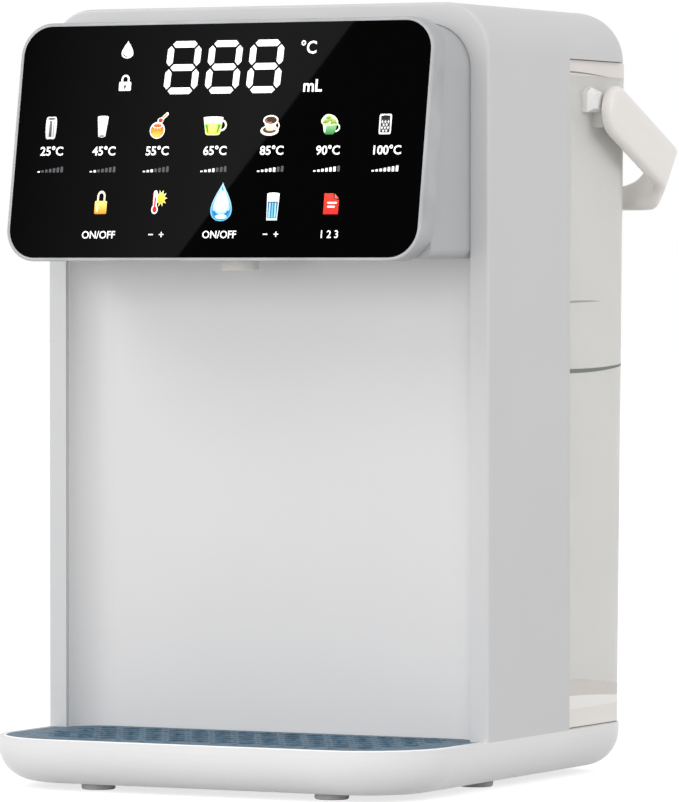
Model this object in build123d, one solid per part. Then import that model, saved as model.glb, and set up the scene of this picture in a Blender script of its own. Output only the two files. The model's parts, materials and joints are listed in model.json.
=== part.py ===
from build123d import *
from math import cos, radians, sin, tan
import os

# Instant hot water dispenser: an arch-shaped body on a boat-shaped base, a tilted touch panel
# over a cup bay, a lift-out drip tray and a removable rear water tank with a swinging handle.
# X runs to the right, Y runs back and Z runs up. While the pieces are drawn, Y is 0 at the front
# plane of the body. They are written with the origin at the middle of the footprint.

# Overall form
body_width = 198.0
body_height = 311.0
body_depth = 75.3
hood_reach = 142.0
hood_t = 20.2
corner_r = 20.0
edge_r = 19.4
front_edge_r = 1.2
wall = 2.4
fit = 0.2

# Base tub, deck and feet
foot_height = 2.7
foot_r = 6.75
foot_edge = 0.5
foot_peg_r = 2.2
base_top = 20.5
base_front = -69.0
base_front_r = 38.0
base_rear_r = 24.0
base_edge_r = 15.0
base_wall = 2.4
base_rim = 3.25
ledge_drop = 4.2
ledge_t = 1.6
web_width = 9.0
deck_t = 2.4
foot_side = 47.0
foot_front = 26.0
foot_rear = 37.0
foot_middle_side = 23.0
base_screw_side = 29.0
base_screw_front = 18.0
base_screw_rear = 22.0
wire_hole_r = 7.0
wire_hole_x = 62.0
wire_hole_from_cover = 20.9

# Cup bay
band_width = 8.0
bay_depth = 14.0
bay_corner_r = 15.0
liner_t = 2.0
liner_rise = 5.5

# Drip tray
tray_gap = 0.25
basin_side_gap = 3.0
basin_front_gap = 9.5
basin_rear_gap = 6.0
basin_front_r = 30.0
basin_rear_r = 10.0
basin_edge_r = 5.5
basin_wall = 1.5
basin_floor_gap = 1.4
hole_r = 3.4
hole_step_x = 10.4
hole_step_y = 9.6
hole_margin = 5.0

# Head and panel
head_below_top = 8.5
head_height = 92.1
head_r = 18.0
head_foot_r = 4.0
head_wall = 2.2
head_collar = 4.5
head_collar_t = 2.0
head_gap = 0.15
panel_y = -40.0
panel_rise = 46.8
panel_lean = 9.6
bezel_side = 1.0
bezel_below = 1.1
bezel_above = 1.8
bezel_r = 13.3
bezel_depth = 11.0
bezel_back_lean = 7.8
bezel_rim = 1.35
bezel_lip = 3.5
bezel_soft_r = 0.5
glass_t = 3.0
glass_gap = 0.15

# Display behind the glass
display_t = 3.0
board_t = 1.6
board_margin = 1.0
digits_width = 60.0
digits_height = 23.0
digits_rise = 28.6
icon_size = 15.0
icon_counts = (7, 5)
icon_steps = (24.7, 26.1)
icon_rises = (5.4, -24.5)

# Nozzle and water tubes
nozzle_y = -21.0
nozzle_drop = 4.8
nozzle_r = 7.5
nozzle_bore_r = 5.75
nozzle_bore_depth = 6.4
nozzle_flange_r = 13.0
nozzle_flange_t = 2.5
gasket_t = 0.8
spigot_r = 2.95
spigot_bore_r = 2.0
spigot_length = 10.0
tube_wall = 1.5
tube_bend_r = 7.0
tube_stop_gap = 1.0
elbow_gap = 0.9

# Tank coupling
coupler_rise = 27.5
coupler_r = 11.5
coupler_bore_r = 8.6
coupler_depth = 15.0
coupler_end_t = 2.4
coupler_flange_r = 15.0
coupler_flange_t = 2.4
coupler_pin_r = 1.4
coupler_pin_tip = 6.3
coupler_web_t = 1.0

# Heater
heater_x = -45.0
heater_from_cover = 27.0
heater_rise = 68.5
heater_outlet_rise = 23.6
heater_r = 15.0
heater_wall = 1.5
heater_cap_r = 18.0
heater_cap_t = 12.0
heater_cap_grip = 8.0
bracket_inset = 26.0
bracket_t = 3.5
bracket_height = 10.0
bracket_stem = 10.0
bracket_foot = 26.0
cutout_r = 7.0
cutout_depth = 7.0
cutout_step = 25.0
probe_r = 2.0

# Pump
pump_x = 20.0
pump_r = 15.0
pump_chamber_r = 12.0
pump_length = 16.0
pump_wall = 3.0
motor_r = 12.0
motor_length = 38.0
motor_bush_depth = 14.0
shaft_r = 1.5
shaft_gap = 0.05
impeller_r = 10.5
impeller_disc_t = 2.0
impeller_vane_t = 1.4
impeller_vane_height = 4.0
impeller_hub_r = 4.0
impeller_gap = 1.2
vane_count = 6
vane_lean = 25.0
cradle_length = 26.0
cradle_half = 12.0
cradle_wrap = 5.0

# Power board
board_width = 62.0
board_height = 122.0
board_side_gap = 12.6
board_rise = 89.5
standoff_length = 8.0
standoff_r = 3.0
standoff_inset = 6.0
transformer_size = (26.0, 30.0, 22.0)
relay_size = (15.0, 19.0, 16.0)
choke_size = (18.0, 12.0, 12.0)
part_gap = 4.0
capacitor_r = 5.0
capacitor_length = 18.0
capacitor_step = 13.0
capacitor_count = 3
sink_width = 16.0
sink_height = 24.0
sink_base_t = 3.0
fin_t = 1.6
fin_height = 11.0
fin_count = 4

# Rear cover screws
boss_r = 4.0
boss_length = 14.0
boss_inset = 7.5
boss_rise = 13.5
boss_drop = 18.8
screw_r = 1.3
screw_head_r = 3.0
screw_head_t = 1.4
screw_length = 12.0
screw_gap = 0.25

# Water tank
dock_gap = 1.0
tank_side_gap = 2.5
tank_side_draft = 1.0
tank_past_hood = 4.0
tank_rear_draft = 4.0
tank_front_r = 6.0
tank_rear_r = 16.5
tank_wall = 2.2
tank_rest_gap = 0.3
tank_floor_rise = 10.5
lid_gap = 0.8
lid_t = 5.0
lid_edge_r = 1.5
lid_plug_depth = 6.0
lid_plug_gap = 1.3
lid_plug_t = 2.0
seal_height = 3.0
seal_squeeze_gap = 0.1

# Tank valve
nose_r = 8.2
nose_reach = 10.3
nose_seal_width = 2.2
nose_mouth_r = 4.0
nose_mouth_length = 4.0
valve_chamber_r = 6.6
valve_flange_r = 13.0
valve_flange_t = 2.5
valve_tube_r = 9.0
valve_tube_length = 12.7
valve_end_t = 2.0
poppet_r = 5.6
poppet_t = 2.0
poppet_lift = 2.0
poppet_stem_r = 1.4
valve_tip_gap = 0.2
spring_r = 3.6
spring_wire_r = 0.45
spring_turns = 5
strainer_r = 10.8
strainer_wall = 1.6
strainer_grip = 6.0
strainer_reach = 6.0
strainer_slots = 8

# Handle
pivot_from_rear = 37.0
pivot_drop = 14.8
handle_droop = 23.4
handle_arm_r = 10.7
handle_side_gap = 0.4
handle_band = 5.0
handle_past_tank = 31.0
handle_drop = 18.2
handle_slant = 0.267
handle_corner_r = 13.0
handle_heel_r = 5.0
handle_toe_r = 2.2
handle_knee_r = 3.5
handle_soft = 1.5
pin_r = 3.5
pin_gap = 0.06
pin_seat = 2.5
lug_reach = 4.6
lug_half = 6.5
lug_chamfer = 3.5

# Mains cord gland
gland_x = 60.0
gland_z = 10.6
gland_r = 4.6
gland_bore_r = 3.3
gland_collar_r = 6.2
gland_collar_out = 1.8
gland_flange_t = 1.6
gland_pad_half = 9.0

# Sizes that follow from the ones above
body_half = body_width / 2
inner_half = body_half - wall
cover_front = body_depth - wall
hood_bottom = body_height - hood_t
boss_heights = (base_top + boss_rise, hood_bottom - boss_drop)
base_rear = hood_reach
ledge_z = base_top - ledge_drop
tub_floor = foot_height + base_wall
bay_half = body_half - band_width
liner_back = bay_depth + liner_t
basin_half = bay_half - basin_side_gap
basin_front = base_front + basin_front_gap
basin_rear = bay_depth - basin_rear_gap
foot_spots = [(body_half - foot_side, base_front + foot_front),
              (body_half - foot_middle_side, (base_front + base_rear) / 2),
              (body_half - foot_side, base_rear - foot_rear)]
base_screw_spots = [(body_half - base_screw_side, basin_rear + base_screw_front),
                    (body_half - base_screw_side, base_rear - base_screw_rear)]
head_top = body_height - head_below_top
head_bottom = head_top - head_height
head_half = bay_half - head_gap
panel_z = head_bottom + panel_rise
bezel_half = bay_half + bezel_side
bezel_bottom = head_bottom - bezel_below
bezel_top = head_top + bezel_above
digits_z = panel_z + digits_rise
nozzle_tip = head_bottom - nozzle_drop
tube_r = spigot_r + tube_wall
coupler_z = base_top + coupler_rise
heater_y = cover_front - heater_from_cover
heater_z = base_top + heater_rise
heater_inlet_z = heater_z - heater_cap_t / 2
heater_outlet_z = head_bottom + heater_outlet_rise
heater_top = heater_outlet_z - heater_cap_t / 2
pump_z = coupler_z
pump_y = (body_depth - coupler_depth - coupler_end_t - spigot_length - tube_bend_r
          - elbow_gap)
pump_right = pump_x + pump_length
pump_outlet_x = pump_x + pump_length / 2
impeller_back = pump_right - pump_wall - impeller_gap
board_right = inner_half - board_side_gap
board_left = board_right - board_width
board_low = base_top + board_rise
board_high = board_low + board_height
board_front = cover_front - standoff_length - board_t
tank_front = body_depth + dock_gap
tank_top_half = body_half - tank_side_gap
tank_foot_half = tank_top_half - tank_side_draft
tank_top_rear = hood_reach + tank_past_hood
tank_foot_rear = tank_top_rear - tank_rear_draft
tank_floor = base_top + tank_floor_rise
tank_rim = hood_bottom - lid_gap - lid_t
nose_front = tank_front - nose_reach
seat_back = nose_front + nose_mouth_length
poppet_front = seat_back + poppet_lift
valve_inner = tank_front + tank_wall + gasket_t
valve_tube_end = valve_inner + valve_tube_length
pivot_y = tank_top_rear - pivot_from_rear
pivot_z = tank_rim - pivot_drop
handle_inner = tank_top_half + lug_reach + handle_side_gap
handle_reach = pivot_from_rear + handle_past_tank
far = 400.0


def outline(half, low, high, low_r, high_r):
    """Symmetric rounded rectangle with its own corner radius at each end."""
    face = Pos(0, (low + high) / 2) * Rectangle(2 * half, high - low)
    if low_r:
        face = fillet(face.vertices().group_by(Axis.Y)[0], low_r)
    if high_r:
        face = fillet(face.vertices().group_by(Axis.Y)[-1], high_r)
    return face


def chord(r):
    """Chamfer that just clears a round of the given radius."""
    return r * (2 - 2 ** 0.5)


def rise(face, low, high):
    """Solid from an outline seen from above, between two heights."""
    return extrude(Pos(0, 0, low) * face, high - low)


def through(face, front, back):
    """Solid from an outline seen from the front, between two depths."""
    return extrude(Plane.XZ.offset(-back) * face, back - front)


def block(left, right, front, back, low, high):
    middle = Pos((left + right) / 2, (front + back) / 2, (low + high) / 2)
    return middle * Box(right - left, back - front, high - low)


def rod_x(left, right, y, z, r):
    return Pos((left + right) / 2, y, z) * Rot(0, 90, 0) * Cylinder(r, right - left)


def rod_y(front, back, x, z, r):
    return Pos(x, (front + back) / 2, z) * Rot(90, 0, 0) * Cylinder(r, back - front)


def rod_z(low, high, x, y, r):
    return Pos(x, y, (low + high) / 2) * Cylinder(r, high - low)


def rod_between(start, end, r):
    axis = Vector(*end) - Vector(*start)
    return extrude(Plane(origin=start, z_dir=axis) * Circle(r), axis.length)


def both_sides(x_y_pairs):
    return [(side * x, y) for x, y in x_y_pairs for side in (-1, 1)]


def group(solids):
    """Separate solids that share one node."""
    return Compound([solid for shape in solids for solid in shape.solids()])


# Base

def base_plan(inset):
    return outline(body_half - inset, base_front + inset, base_rear - inset,
                   base_front_r - inset, base_rear_r - inset)


def base_boat(inset):
    """Boat-shaped volume of the base, drawn in on every side."""
    boat = rise(base_plan(inset), foot_height + inset, base_top)
    return fillet(boat.edges().group_by(Axis.Z)[0], base_edge_r - inset)


def base_cavity(top):
    """Hollow of the tub, chamfered where its outside is rounded."""
    cavity = rise(base_plan(base_wall), tub_floor, top)
    return chamfer(cavity.edges().group_by(Axis.Z)[0], chord(base_edge_r - base_wall))


def basin_plan(grow):
    return outline(basin_half + grow, basin_front - grow, basin_rear + grow,
                   basin_front_r + grow, basin_rear_r + grow)


def rear_throat():
    """Opening of the ledge below the deck."""
    side = base_rim + web_width
    return outline(body_half - side, basin_rear + web_width, base_rear - side,
                   basin_rear_r, base_rear_r - side)


def make_base_shell():
    tub = base_boat(0)
    ledge_low = ledge_z - ledge_t
    tub -= base_cavity(ledge_low)
    tub -= rise(base_plan(base_rim), ledge_z, far)
    tub -= rise(basin_plan(fit * 2), ledge_low, ledge_z)
    tub -= rise(rear_throat(), ledge_low, ledge_z)
    for x, y in both_sides(base_screw_spots):
        tub += rod_z(foot_height + base_wall / 2, ledge_z, x, y, boss_r + screw_r / 2)
        tub -= rod_z(0, ledge_z, x, y, screw_r + screw_gap)
        tub -= rod_z(0, foot_height + base_wall, x, y, screw_head_r + screw_gap)
    for x, y in both_sides(foot_spots):
        tub -= rod_z(0, tub_floor, x, y, foot_peg_r)
    pad = block(gland_x - gland_pad_half, gland_x + gland_pad_half,
                base_rear - base_edge_r, base_rear, foot_height, ledge_z)
    tub += pad & base_boat(base_wall / 2)
    return tub - rod_y(base_rear - base_edge_r, base_rear, gland_x, gland_z, gland_r)


def make_base_deck():
    plan = base_plan(base_rim + fit)
    deck = rise(plan, ledge_z, base_top) & block(-far, far, fit, far, 0, far)
    tongue = outline(bay_half, -far, bay_depth + fit, 0, bay_corner_r)
    deck -= rise(tongue, 0, far)
    skirt = deck_t + base_rim
    hollow = outline(body_half - 2 * skirt, liner_back + skirt, base_rear - 2 * skirt,
                     basin_rear_r, base_rear_r - 2 * skirt)
    deck -= rise(hollow, ledge_z, base_top - deck_t)
    for x, y in both_sides(base_screw_spots):
        deck += rod_z(ledge_z, base_top - deck_t / 2, x, y, boss_r)
        deck -= rod_z(ledge_z, base_top - deck_t / 2, x, y, screw_r)
    deck -= rod_z(ledge_z, base_top, wire_hole_x, cover_front - wire_hole_from_cover,
                  wire_hole_r)
    return deck


def make_feet():
    foot = rod_z(0, foot_height, 0, 0, foot_r)
    foot = chamfer(foot.edges().group_by(Axis.Z)[0], foot_edge)
    foot += rod_z(foot_height, tub_floor - fit, 0, 0, foot_peg_r)
    return group([Pos(x, y) * foot for x, y in both_sides(foot_spots)])


def make_base_screws():
    head_low = foot_height + screw_gap
    shank_top = base_top - deck_t / 2 - fit
    screw = rod_z(head_low, foot_height + base_wall, 0, 0, screw_head_r)
    screw += rod_z(head_low, shank_top, 0, 0, screw_r)
    return group([Pos(x, y) * screw for x, y in both_sides(base_screw_spots)])


def make_cord_gland():
    inner = base_rear - base_edge_r - gland_flange_t
    gland = rod_y(inner, base_rear, gland_x, gland_z, gland_r)
    gland += rod_y(inner, inner + gland_flange_t, gland_x, gland_z, gland_r + fit * 2)
    collar = rod_y(base_rear - base_edge_r, base_rear + gland_collar_out,
                   gland_x, gland_z, gland_collar_r)
    gland += collar - base_boat(0)
    return gland - rod_y(inner - far, base_rear + far, gland_x, gland_z, gland_bore_r)


# Body

def body_volume(inset, front):
    """Arch and hood as one block; the hollow one is drawn in and chamfered at the back."""
    face = outline(body_half - inset, base_top - inset, body_height - inset,
                   0, corner_r - inset)
    volume = through(face, front, hood_reach - inset)
    back = volume.faces().sort_by(Axis.Y)[-1].edges().sort_by(Axis.Z)[1:]
    return chamfer(back, chord(edge_r - inset)) if inset else fillet(back, edge_r)


def make_housing():
    shell = body_volume(0, 0)
    front = shell.faces().sort_by(Axis.Y)[0]
    shell = fillet(front.edges().sort_by(Axis.Z)[1:], front_edge_r)
    shell -= body_volume(wall, wall)
    shell -= through(outline(bay_half, 0, head_top + head_gap, 0, head_r), -far, wall)
    shell -= block(-far, far, body_depth, far, 0, hood_bottom)
    shell -= block(-inner_half, inner_half, wall, far, 0, base_top + wall)
    for side in (-1, 1):
        x = side * (inner_half - boss_inset)
        for z in boss_heights:
            boss = rod_y(cover_front - boss_length, cover_front, x, z, boss_r)
            rib = block(min(x, side * body_half - side * wall / 2),
                        max(x, side * body_half - side * wall / 2),
                        cover_front - boss_length, cover_front,
                        z - wall / 2, z + wall / 2)
            shell += boss + rib
            shell -= rod_y(cover_front - boss_length, cover_front, x, z, screw_r)
    return shell


def make_bay_liner():
    """Back and side walls of the cup bay, with rounded inner corners."""
    top = head_bottom + liner_rise
    skin = outline(bay_half + liner_t, -far, liner_back, 0, bay_corner_r + liner_t)
    bay = outline(bay_half, -far, bay_depth, 0, bay_corner_r)
    return rise(skin - bay, base_top, top) & block(-far, far, wall, far, 0, far)


def make_rear_cover():
    """Upright cover behind the works, with the floor of the hood."""
    inner = body_volume(wall + fit, wall + fit)
    upright = block(-far, far, cover_front, body_depth, base_top, hood_bottom + wall)
    hood_floor = block(-far, far, cover_front, far, hood_bottom, hood_bottom + wall)
    cover = inner & (upright + hood_floor)
    cover -= rod_y(cover_front, body_depth, 0, coupler_z, coupler_r)
    for side in (-1, 1):
        x = side * (inner_half - boss_inset)
        for z in boss_heights:
            cover -= rod_y(cover_front, body_depth, x, z, screw_r + screw_gap)
            cover -= rod_y(body_depth - screw_head_t - fit, body_depth, x, z,
                           screw_head_r + screw_gap)
    return cover


def make_cover_screws():
    head_back = body_depth - fit
    head_front = body_depth - screw_head_t - fit
    screw = rod_y(head_front, head_back, 0, 0, screw_head_r)
    screw += rod_y(head_front - screw_length, head_front, 0, 0, screw_r)
    spots = both_sides([(inner_half - boss_inset, z) for z in boss_heights])
    return group([Pos(x, 0, z) * screw for x, z in spots])


# Drip tray

def tray_plan(inset, with_tongue=True):
    """Outline shared by the basin's flange and the grille."""
    edge = base_rim + tray_gap + inset
    wide = base_plan(edge) - Pos(0, far / 2) * Rectangle(far, far + 2 * fit + 2 * inset)
    tongue = outline(bay_half - tray_gap - inset, -bay_corner_r,
                     bay_depth - tray_gap - inset, 0, bay_corner_r - tray_gap)
    return wide + tongue if with_tongue else wide


def make_drip_basin():
    """Lift-out pan hung from its flange."""
    floor = tub_floor + basin_floor_gap
    flange_top = ledge_z + basin_wall
    pan = rise(basin_plan(0), floor, flange_top)
    pan = fillet(pan.edges().group_by(Axis.Z)[0], basin_edge_r)
    pan += rise(tray_plan(0), ledge_z, flange_top)
    hollow = rise(basin_plan(-basin_wall), floor + basin_wall, flange_top)
    return pan - fillet(hollow.edges().group_by(Axis.Z)[0], basin_edge_r - basin_wall)


def on_grille(x, y):
    """Whether a point lies inside the grille's solid border."""
    side = basin_half - hole_margin - abs(x)
    front = y - basin_front - hole_margin
    r = basin_front_r - hole_margin
    if min(side, front, basin_rear - y) < 0:
        return False
    return side > r or front > r or (r - side) ** 2 + (r - front) ** 2 < r ** 2


def make_drip_grille():
    """Flat grille with staggered rows of six-sided holes."""
    low = ledge_z + basin_wall
    middle = (basin_front + basin_rear) / 2
    columns = int(basin_half / hole_step_x)
    rows = int((basin_rear - basin_front) / hole_step_y)
    hexagon = RegularPolygon(hole_r, 6)
    holes = []
    for row in range(rows):
        shift = hole_step_x / 2 * (row % 2)
        y = middle + (row - (rows - 1) / 2) * hole_step_y
        for column in range(-columns, columns + 1):
            hole = Pos(column * hole_step_x + shift, y) * hexagon
            if all(on_grille(corner.X, corner.Y) for corner in hole.vertices()):
                holes.append(hole)
    return rise(tray_plan(0), low, base_top) - rise(Sketch() + holes, low, base_top)


# Head and panel

def slanted(depth, lean):
    """Plane across the panel, a given depth behind the glass's face."""
    return Plane(origin=(0, panel_y + depth, panel_z), x_dir=(1, 0, 0),
                 z_dir=(0, -cos(radians(lean)), sin(radians(lean))))


def slab(face, front, back):
    """Front-view outline cut to a slice behind the glass's face."""
    solid = through(face, -far / 2, far / 2)
    solid = split(solid, bisect_by=slanted(front, panel_lean), keep=Keep.BOTTOM)
    return split(solid, bisect_by=slanted(back, panel_lean), keep=Keep.TOP)


def panel_face(inset):
    return outline(bezel_half - inset, bezel_bottom + inset, bezel_top - inset,
                   bezel_r - inset, bezel_r - inset)


def make_head_shell():
    """Open-ended block that carries the panel, with a collar behind the body's front."""
    block_face = outline(head_half, head_bottom, head_top, head_foot_r, head_r)
    head = through(block_face, -far / 2, bay_depth)
    collar = outline(head_half + head_collar, head_bottom + liner_rise + 2 * fit,
                     head_top + head_collar, 0, head_r + head_collar)
    head += through(collar, wall, wall + head_collar_t)
    inner_face = outline(head_half - head_wall, head_bottom + head_wall,
                         head_top - head_wall, head_foot_r - head_wall, head_r - head_wall)
    head -= through(inner_face, -far, far)
    bay = outline(bay_half - head_gap, -far, bay_depth - head_gap, 0,
                  bay_corner_r - head_gap)
    outside = Rectangle(far, far) - bay
    head -= rise(outside, head_bottom, head_bottom + liner_rise + fit)
    head = split(head, bisect_by=slanted(bezel_depth, bezel_back_lean), keep=Keep.BOTTOM)
    return head - rod_z(0, head_bottom + head_wall, 0, nozzle_y, nozzle_r + fit)


def make_bezel():
    frame = through(panel_face(0), -far / 2, 0)
    frame = split(frame, bisect_by=slanted(0, panel_lean), keep=Keep.BOTTOM)
    front = frame.faces().sort_by(Axis.Y)[0]
    frame = fillet(front.edges(), bezel_soft_r)
    frame = split(frame, bisect_by=slanted(bezel_depth, bezel_back_lean), keep=Keep.TOP)
    frame -= slab(panel_face(bezel_rim), -far / 4, glass_t)
    return frame - through(panel_face(bezel_rim + bezel_lip), -far / 2, 0)


def make_touch_glass():
    return slab(panel_face(bezel_rim + glass_gap), 0, glass_t)


def digits_face():
    return Pos(0, digits_z) * Rectangle(digits_width, digits_height)


def make_digit_display():
    return slab(digits_face(), glass_t, glass_t + display_t)


def make_light_frame():
    """Dark frame with a cell behind each icon and a window for the digits."""
    face = panel_face(bezel_rim + bezel_lip + board_margin)
    face -= Pos(0, digits_z) * Rectangle(digits_width + 2 * fit, digits_height + 2 * fit)
    for count, step, rise_above in zip(icon_counts, icon_steps, icon_rises):
        for index in range(count):
            x = (index - (count - 1) / 2) * step
            face -= Pos(x, panel_z + rise_above) * Rectangle(icon_size, icon_size)
    return slab(face, glass_t, glass_t + display_t)


def make_display_board():
    face = panel_face(bezel_rim + bezel_lip + board_margin)
    back = glass_t + display_t
    return slab(face, back, back + board_t)


# Water path

def tube(start, corner, end):
    """Soft tube of two straight runs and a round bend."""
    start, corner, end = Vector(*start), Vector(*corner), Vector(*end)
    first, second = (corner - start).normalized(), (end - corner).normalized()
    angle = first.get_angle(second)
    trim = tube_bend_r * tan(radians(angle) / 2)
    turn = first.cross(second).normalized()
    bend_start, bend_end = corner - first * trim, corner + second * trim
    ring = Circle(tube_r) - Circle(spigot_r)
    bend = revolve(Plane(origin=bend_start, z_dir=first) * ring,
                   Axis(bend_start + turn.cross(first) * tube_bend_r, turn), angle)
    bend += extrude(Plane(origin=start, z_dir=first) * ring, (bend_start - start).length)
    return bend + extrude(Plane(origin=bend_end, z_dir=second) * ring,
                          (end - bend_end).length)


def make_nozzle():
    floor = head_bottom + head_wall + gasket_t
    top = floor + nozzle_flange_t
    nozzle = rod_z(nozzle_tip, floor, 0, nozzle_y, nozzle_r)
    nozzle = chamfer(nozzle.edges().group_by(Axis.Z)[0], (nozzle_r - nozzle_bore_r) / 3)
    nozzle += rod_z(floor, top, 0, nozzle_y, nozzle_flange_r)
    nozzle += rod_z(top, top + spigot_length, 0, nozzle_y, spigot_r)
    nozzle -= rod_z(0, nozzle_tip + nozzle_bore_depth, 0, nozzle_y, nozzle_bore_r)
    return nozzle - rod_z(0, far, 0, nozzle_y, spigot_bore_r)


def make_nozzle_gasket():
    low = head_bottom + head_wall
    ring = rod_z(low, low + gasket_t, 0, nozzle_y, nozzle_flange_r)
    return ring - rod_z(0, far, 0, nozzle_y, nozzle_r + fit)


def make_dock_coupler():
    """Socket in the rear cover that the tank's nose plugs into."""
    back = body_depth
    end = back - coupler_depth
    body = rod_y(end - coupler_end_t, back, 0, coupler_z, coupler_r)
    body += rod_y(cover_front - coupler_flange_t, cover_front, 0, coupler_z,
                  coupler_flange_r)
    body += rod_y(end - coupler_end_t - spigot_length, end, 0, coupler_z, spigot_r)
    body -= rod_y(end, back, 0, coupler_z, coupler_bore_r)
    body -= rod_y(end - far, end, 0, coupler_z, spigot_bore_r)
    web = rod_y(end, end + coupler_end_t, 0, coupler_z, coupler_bore_r)
    web &= block(-coupler_web_t / 2, coupler_web_t / 2, end, back, 0, far)
    pin_tip = back - coupler_pin_tip
    return body + web + rod_y(end, pin_tip, 0, coupler_z, coupler_pin_r)


def make_inlet_tube():
    """From the tank's socket to the pump."""
    start = body_depth - coupler_depth - coupler_end_t - tube_stop_gap
    stop = pump_x - tube_stop_gap
    return tube((0, start, coupler_z), (0, pump_y, coupler_z), (stop, pump_y, coupler_z))


def inlet_port(distance):
    """Point out from the heater's axis towards the pump's outlet."""
    way = Vector(pump_outlet_x - heater_x, pump_y - heater_y).normalized() * distance
    return (heater_x + way.X, heater_y + way.Y, heater_inlet_z)


def outlet_port(distance):
    """Point out from the heater's axis towards the nozzle."""
    way = Vector(-heater_x, nozzle_y - heater_y).normalized() * distance
    return (heater_x + way.X, heater_y + way.Y, heater_outlet_z)


def make_transfer_tube():
    """From the top of the pump to the foot of the heater."""
    return tube((pump_outlet_x, pump_y, pump_z + pump_r + tube_stop_gap),
                (pump_outlet_x, pump_y, heater_inlet_z),
                inlet_port(heater_cap_r + tube_stop_gap))


def make_outlet_tube():
    """From the top of the heater forward to the nozzle."""
    nozzle_top = head_bottom + head_wall + gasket_t + nozzle_flange_t + tube_stop_gap
    return tube(outlet_port(heater_cap_r + tube_stop_gap), (0, nozzle_y, heater_outlet_z),
                (0, nozzle_y, nozzle_top))


# Heater

def make_heater_tube():
    return (rod_z(heater_z, heater_top, heater_x, heater_y, heater_r)
            - rod_z(heater_z, heater_top, heater_x, heater_y, heater_r - heater_wall))


def make_heater_foot_cap():
    cap = rod_z(heater_z - heater_cap_t, heater_z + heater_cap_grip, heater_x, heater_y,
                heater_cap_r)
    cap -= rod_z(heater_z, far, heater_x, heater_y, heater_r)
    tip = inlet_port(heater_cap_r + spigot_length)
    cap += rod_between(inlet_port(heater_r), tip, spigot_r)
    cap -= rod_between(inlet_port(0), tip, spigot_bore_r)
    return cap - rod_z(heater_inlet_z, far, heater_x, heater_y, spigot_bore_r)


def make_heater_top_cap():
    cap = rod_z(heater_top - heater_cap_grip, heater_top + heater_cap_t, heater_x,
                heater_y, heater_cap_r)
    cap -= rod_z(0, heater_top, heater_x, heater_y, heater_r)
    tip = outlet_port(heater_cap_r + spigot_length)
    cap += rod_between(outlet_port(heater_r), tip, spigot_r)
    cap -= rod_between(outlet_port(0), tip, spigot_bore_r)
    cap -= rod_z(0, heater_outlet_z, heater_x, heater_y, spigot_bore_r)
    return cap - rod_x(heater_x + spigot_r, heater_x + 2 * heater_r, heater_y,
                       heater_outlet_z, probe_r)


def make_heater_brackets():
    """Two saddles that hold the heater to the rear cover."""
    saddles = []
    for z in (heater_z + bracket_inset, heater_top - bracket_inset):
        low, high = z - bracket_height / 2, z + bracket_height / 2
        saddle = rod_z(low, high, heater_x, heater_y, heater_r + bracket_t)
        saddle += block(heater_x - bracket_stem / 2, heater_x + bracket_stem / 2,
                        heater_y, cover_front, low, high)
        saddle += block(heater_x - bracket_foot / 2, heater_x + bracket_foot / 2,
                        cover_front - bracket_t, cover_front, low, high)
        saddles.append(saddle - rod_z(low, high, heater_x, heater_y, heater_r))
    return group(saddles)


def make_thermal_cutouts():
    """Two round safety switches against the heater's side."""
    left = heater_x + heater_r
    middle = (heater_z + heater_top) / 2
    discs = []
    for z in (middle - cutout_step / 2, middle + cutout_step / 2):
        disc = rod_x(left, left + cutout_depth, heater_y, z, cutout_r)
        for side in (-1, 1):
            y = heater_y + side * cutout_r / 2
            tab_right = left + cutout_depth + cutout_depth / 2
            disc += block(left + cutout_depth, tab_right, y - deck_t / 4, y + deck_t / 4,
                          z - cutout_r / 3, z + cutout_r / 3)
        discs.append(disc)
    return group(discs)


def make_temperature_probe():
    left = heater_x + spigot_r
    collar = heater_x + heater_cap_r
    stem = rod_x(left, collar + probe_r, heater_y, heater_outlet_z, probe_r)
    return stem + rod_x(collar, collar + probe_r, heater_y, heater_outlet_z, 2 * probe_r)


# Pump

def make_pump_body():
    body = rod_x(pump_x, pump_right, pump_y, pump_z, pump_r)
    body += rod_x(pump_x - spigot_length, pump_x, pump_y, pump_z, spigot_r)
    outlet = Pos(pump_outlet_x, pump_y, pump_z)
    body += outlet * rod_z(0, pump_r + spigot_length, 0, 0, spigot_r)
    body -= rod_x(pump_x + pump_wall, pump_right, pump_y, pump_z, pump_chamber_r)
    body -= rod_x(pump_x - far, pump_x + pump_wall, pump_y, pump_z, spigot_bore_r)
    return body - outlet * rod_z(0, far, 0, 0, spigot_bore_r)


def make_pump_motor():
    """Motor can whose front plate closes the pump chamber."""
    plate = pump_right - pump_wall
    motor = rod_x(plate, pump_right, pump_y, pump_z, pump_chamber_r)
    motor += rod_x(pump_right, pump_right + motor_length, pump_y, pump_z, motor_r)
    motor = chamfer(motor.edges().group_by(Axis.X)[-1], shaft_r)
    return motor - rod_x(plate, plate + motor_bush_depth, pump_y, pump_z,
                         shaft_r + shaft_gap)


def make_pump_impeller():
    """Disc with leaning vanes and a hub."""
    front = impeller_back - impeller_disc_t
    tip = front - impeller_vane_height
    wheel = rod_x(front, impeller_back, 0, 0, impeller_r)
    wheel += rod_x(tip, impeller_back, 0, 0, impeller_hub_r)
    for index in range(vane_count):
        vane = block(tip, front, impeller_hub_r / 2, impeller_r - impeller_vane_t,
                     -impeller_vane_t / 2, impeller_vane_t / 2)
        lean = (Pos(0, impeller_hub_r, 0) * Rot(vane_lean, 0, 0)
                * Pos(0, -impeller_hub_r, 0))
        wheel += Rot(index * 360 / vane_count, 0, 0) * lean * vane
    wheel &= rod_x(tip, impeller_back, 0, 0, impeller_r)
    wheel -= rod_x(tip, impeller_back, 0, 0, shaft_r)
    return Pos(0, pump_y, pump_z) * wheel


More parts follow.
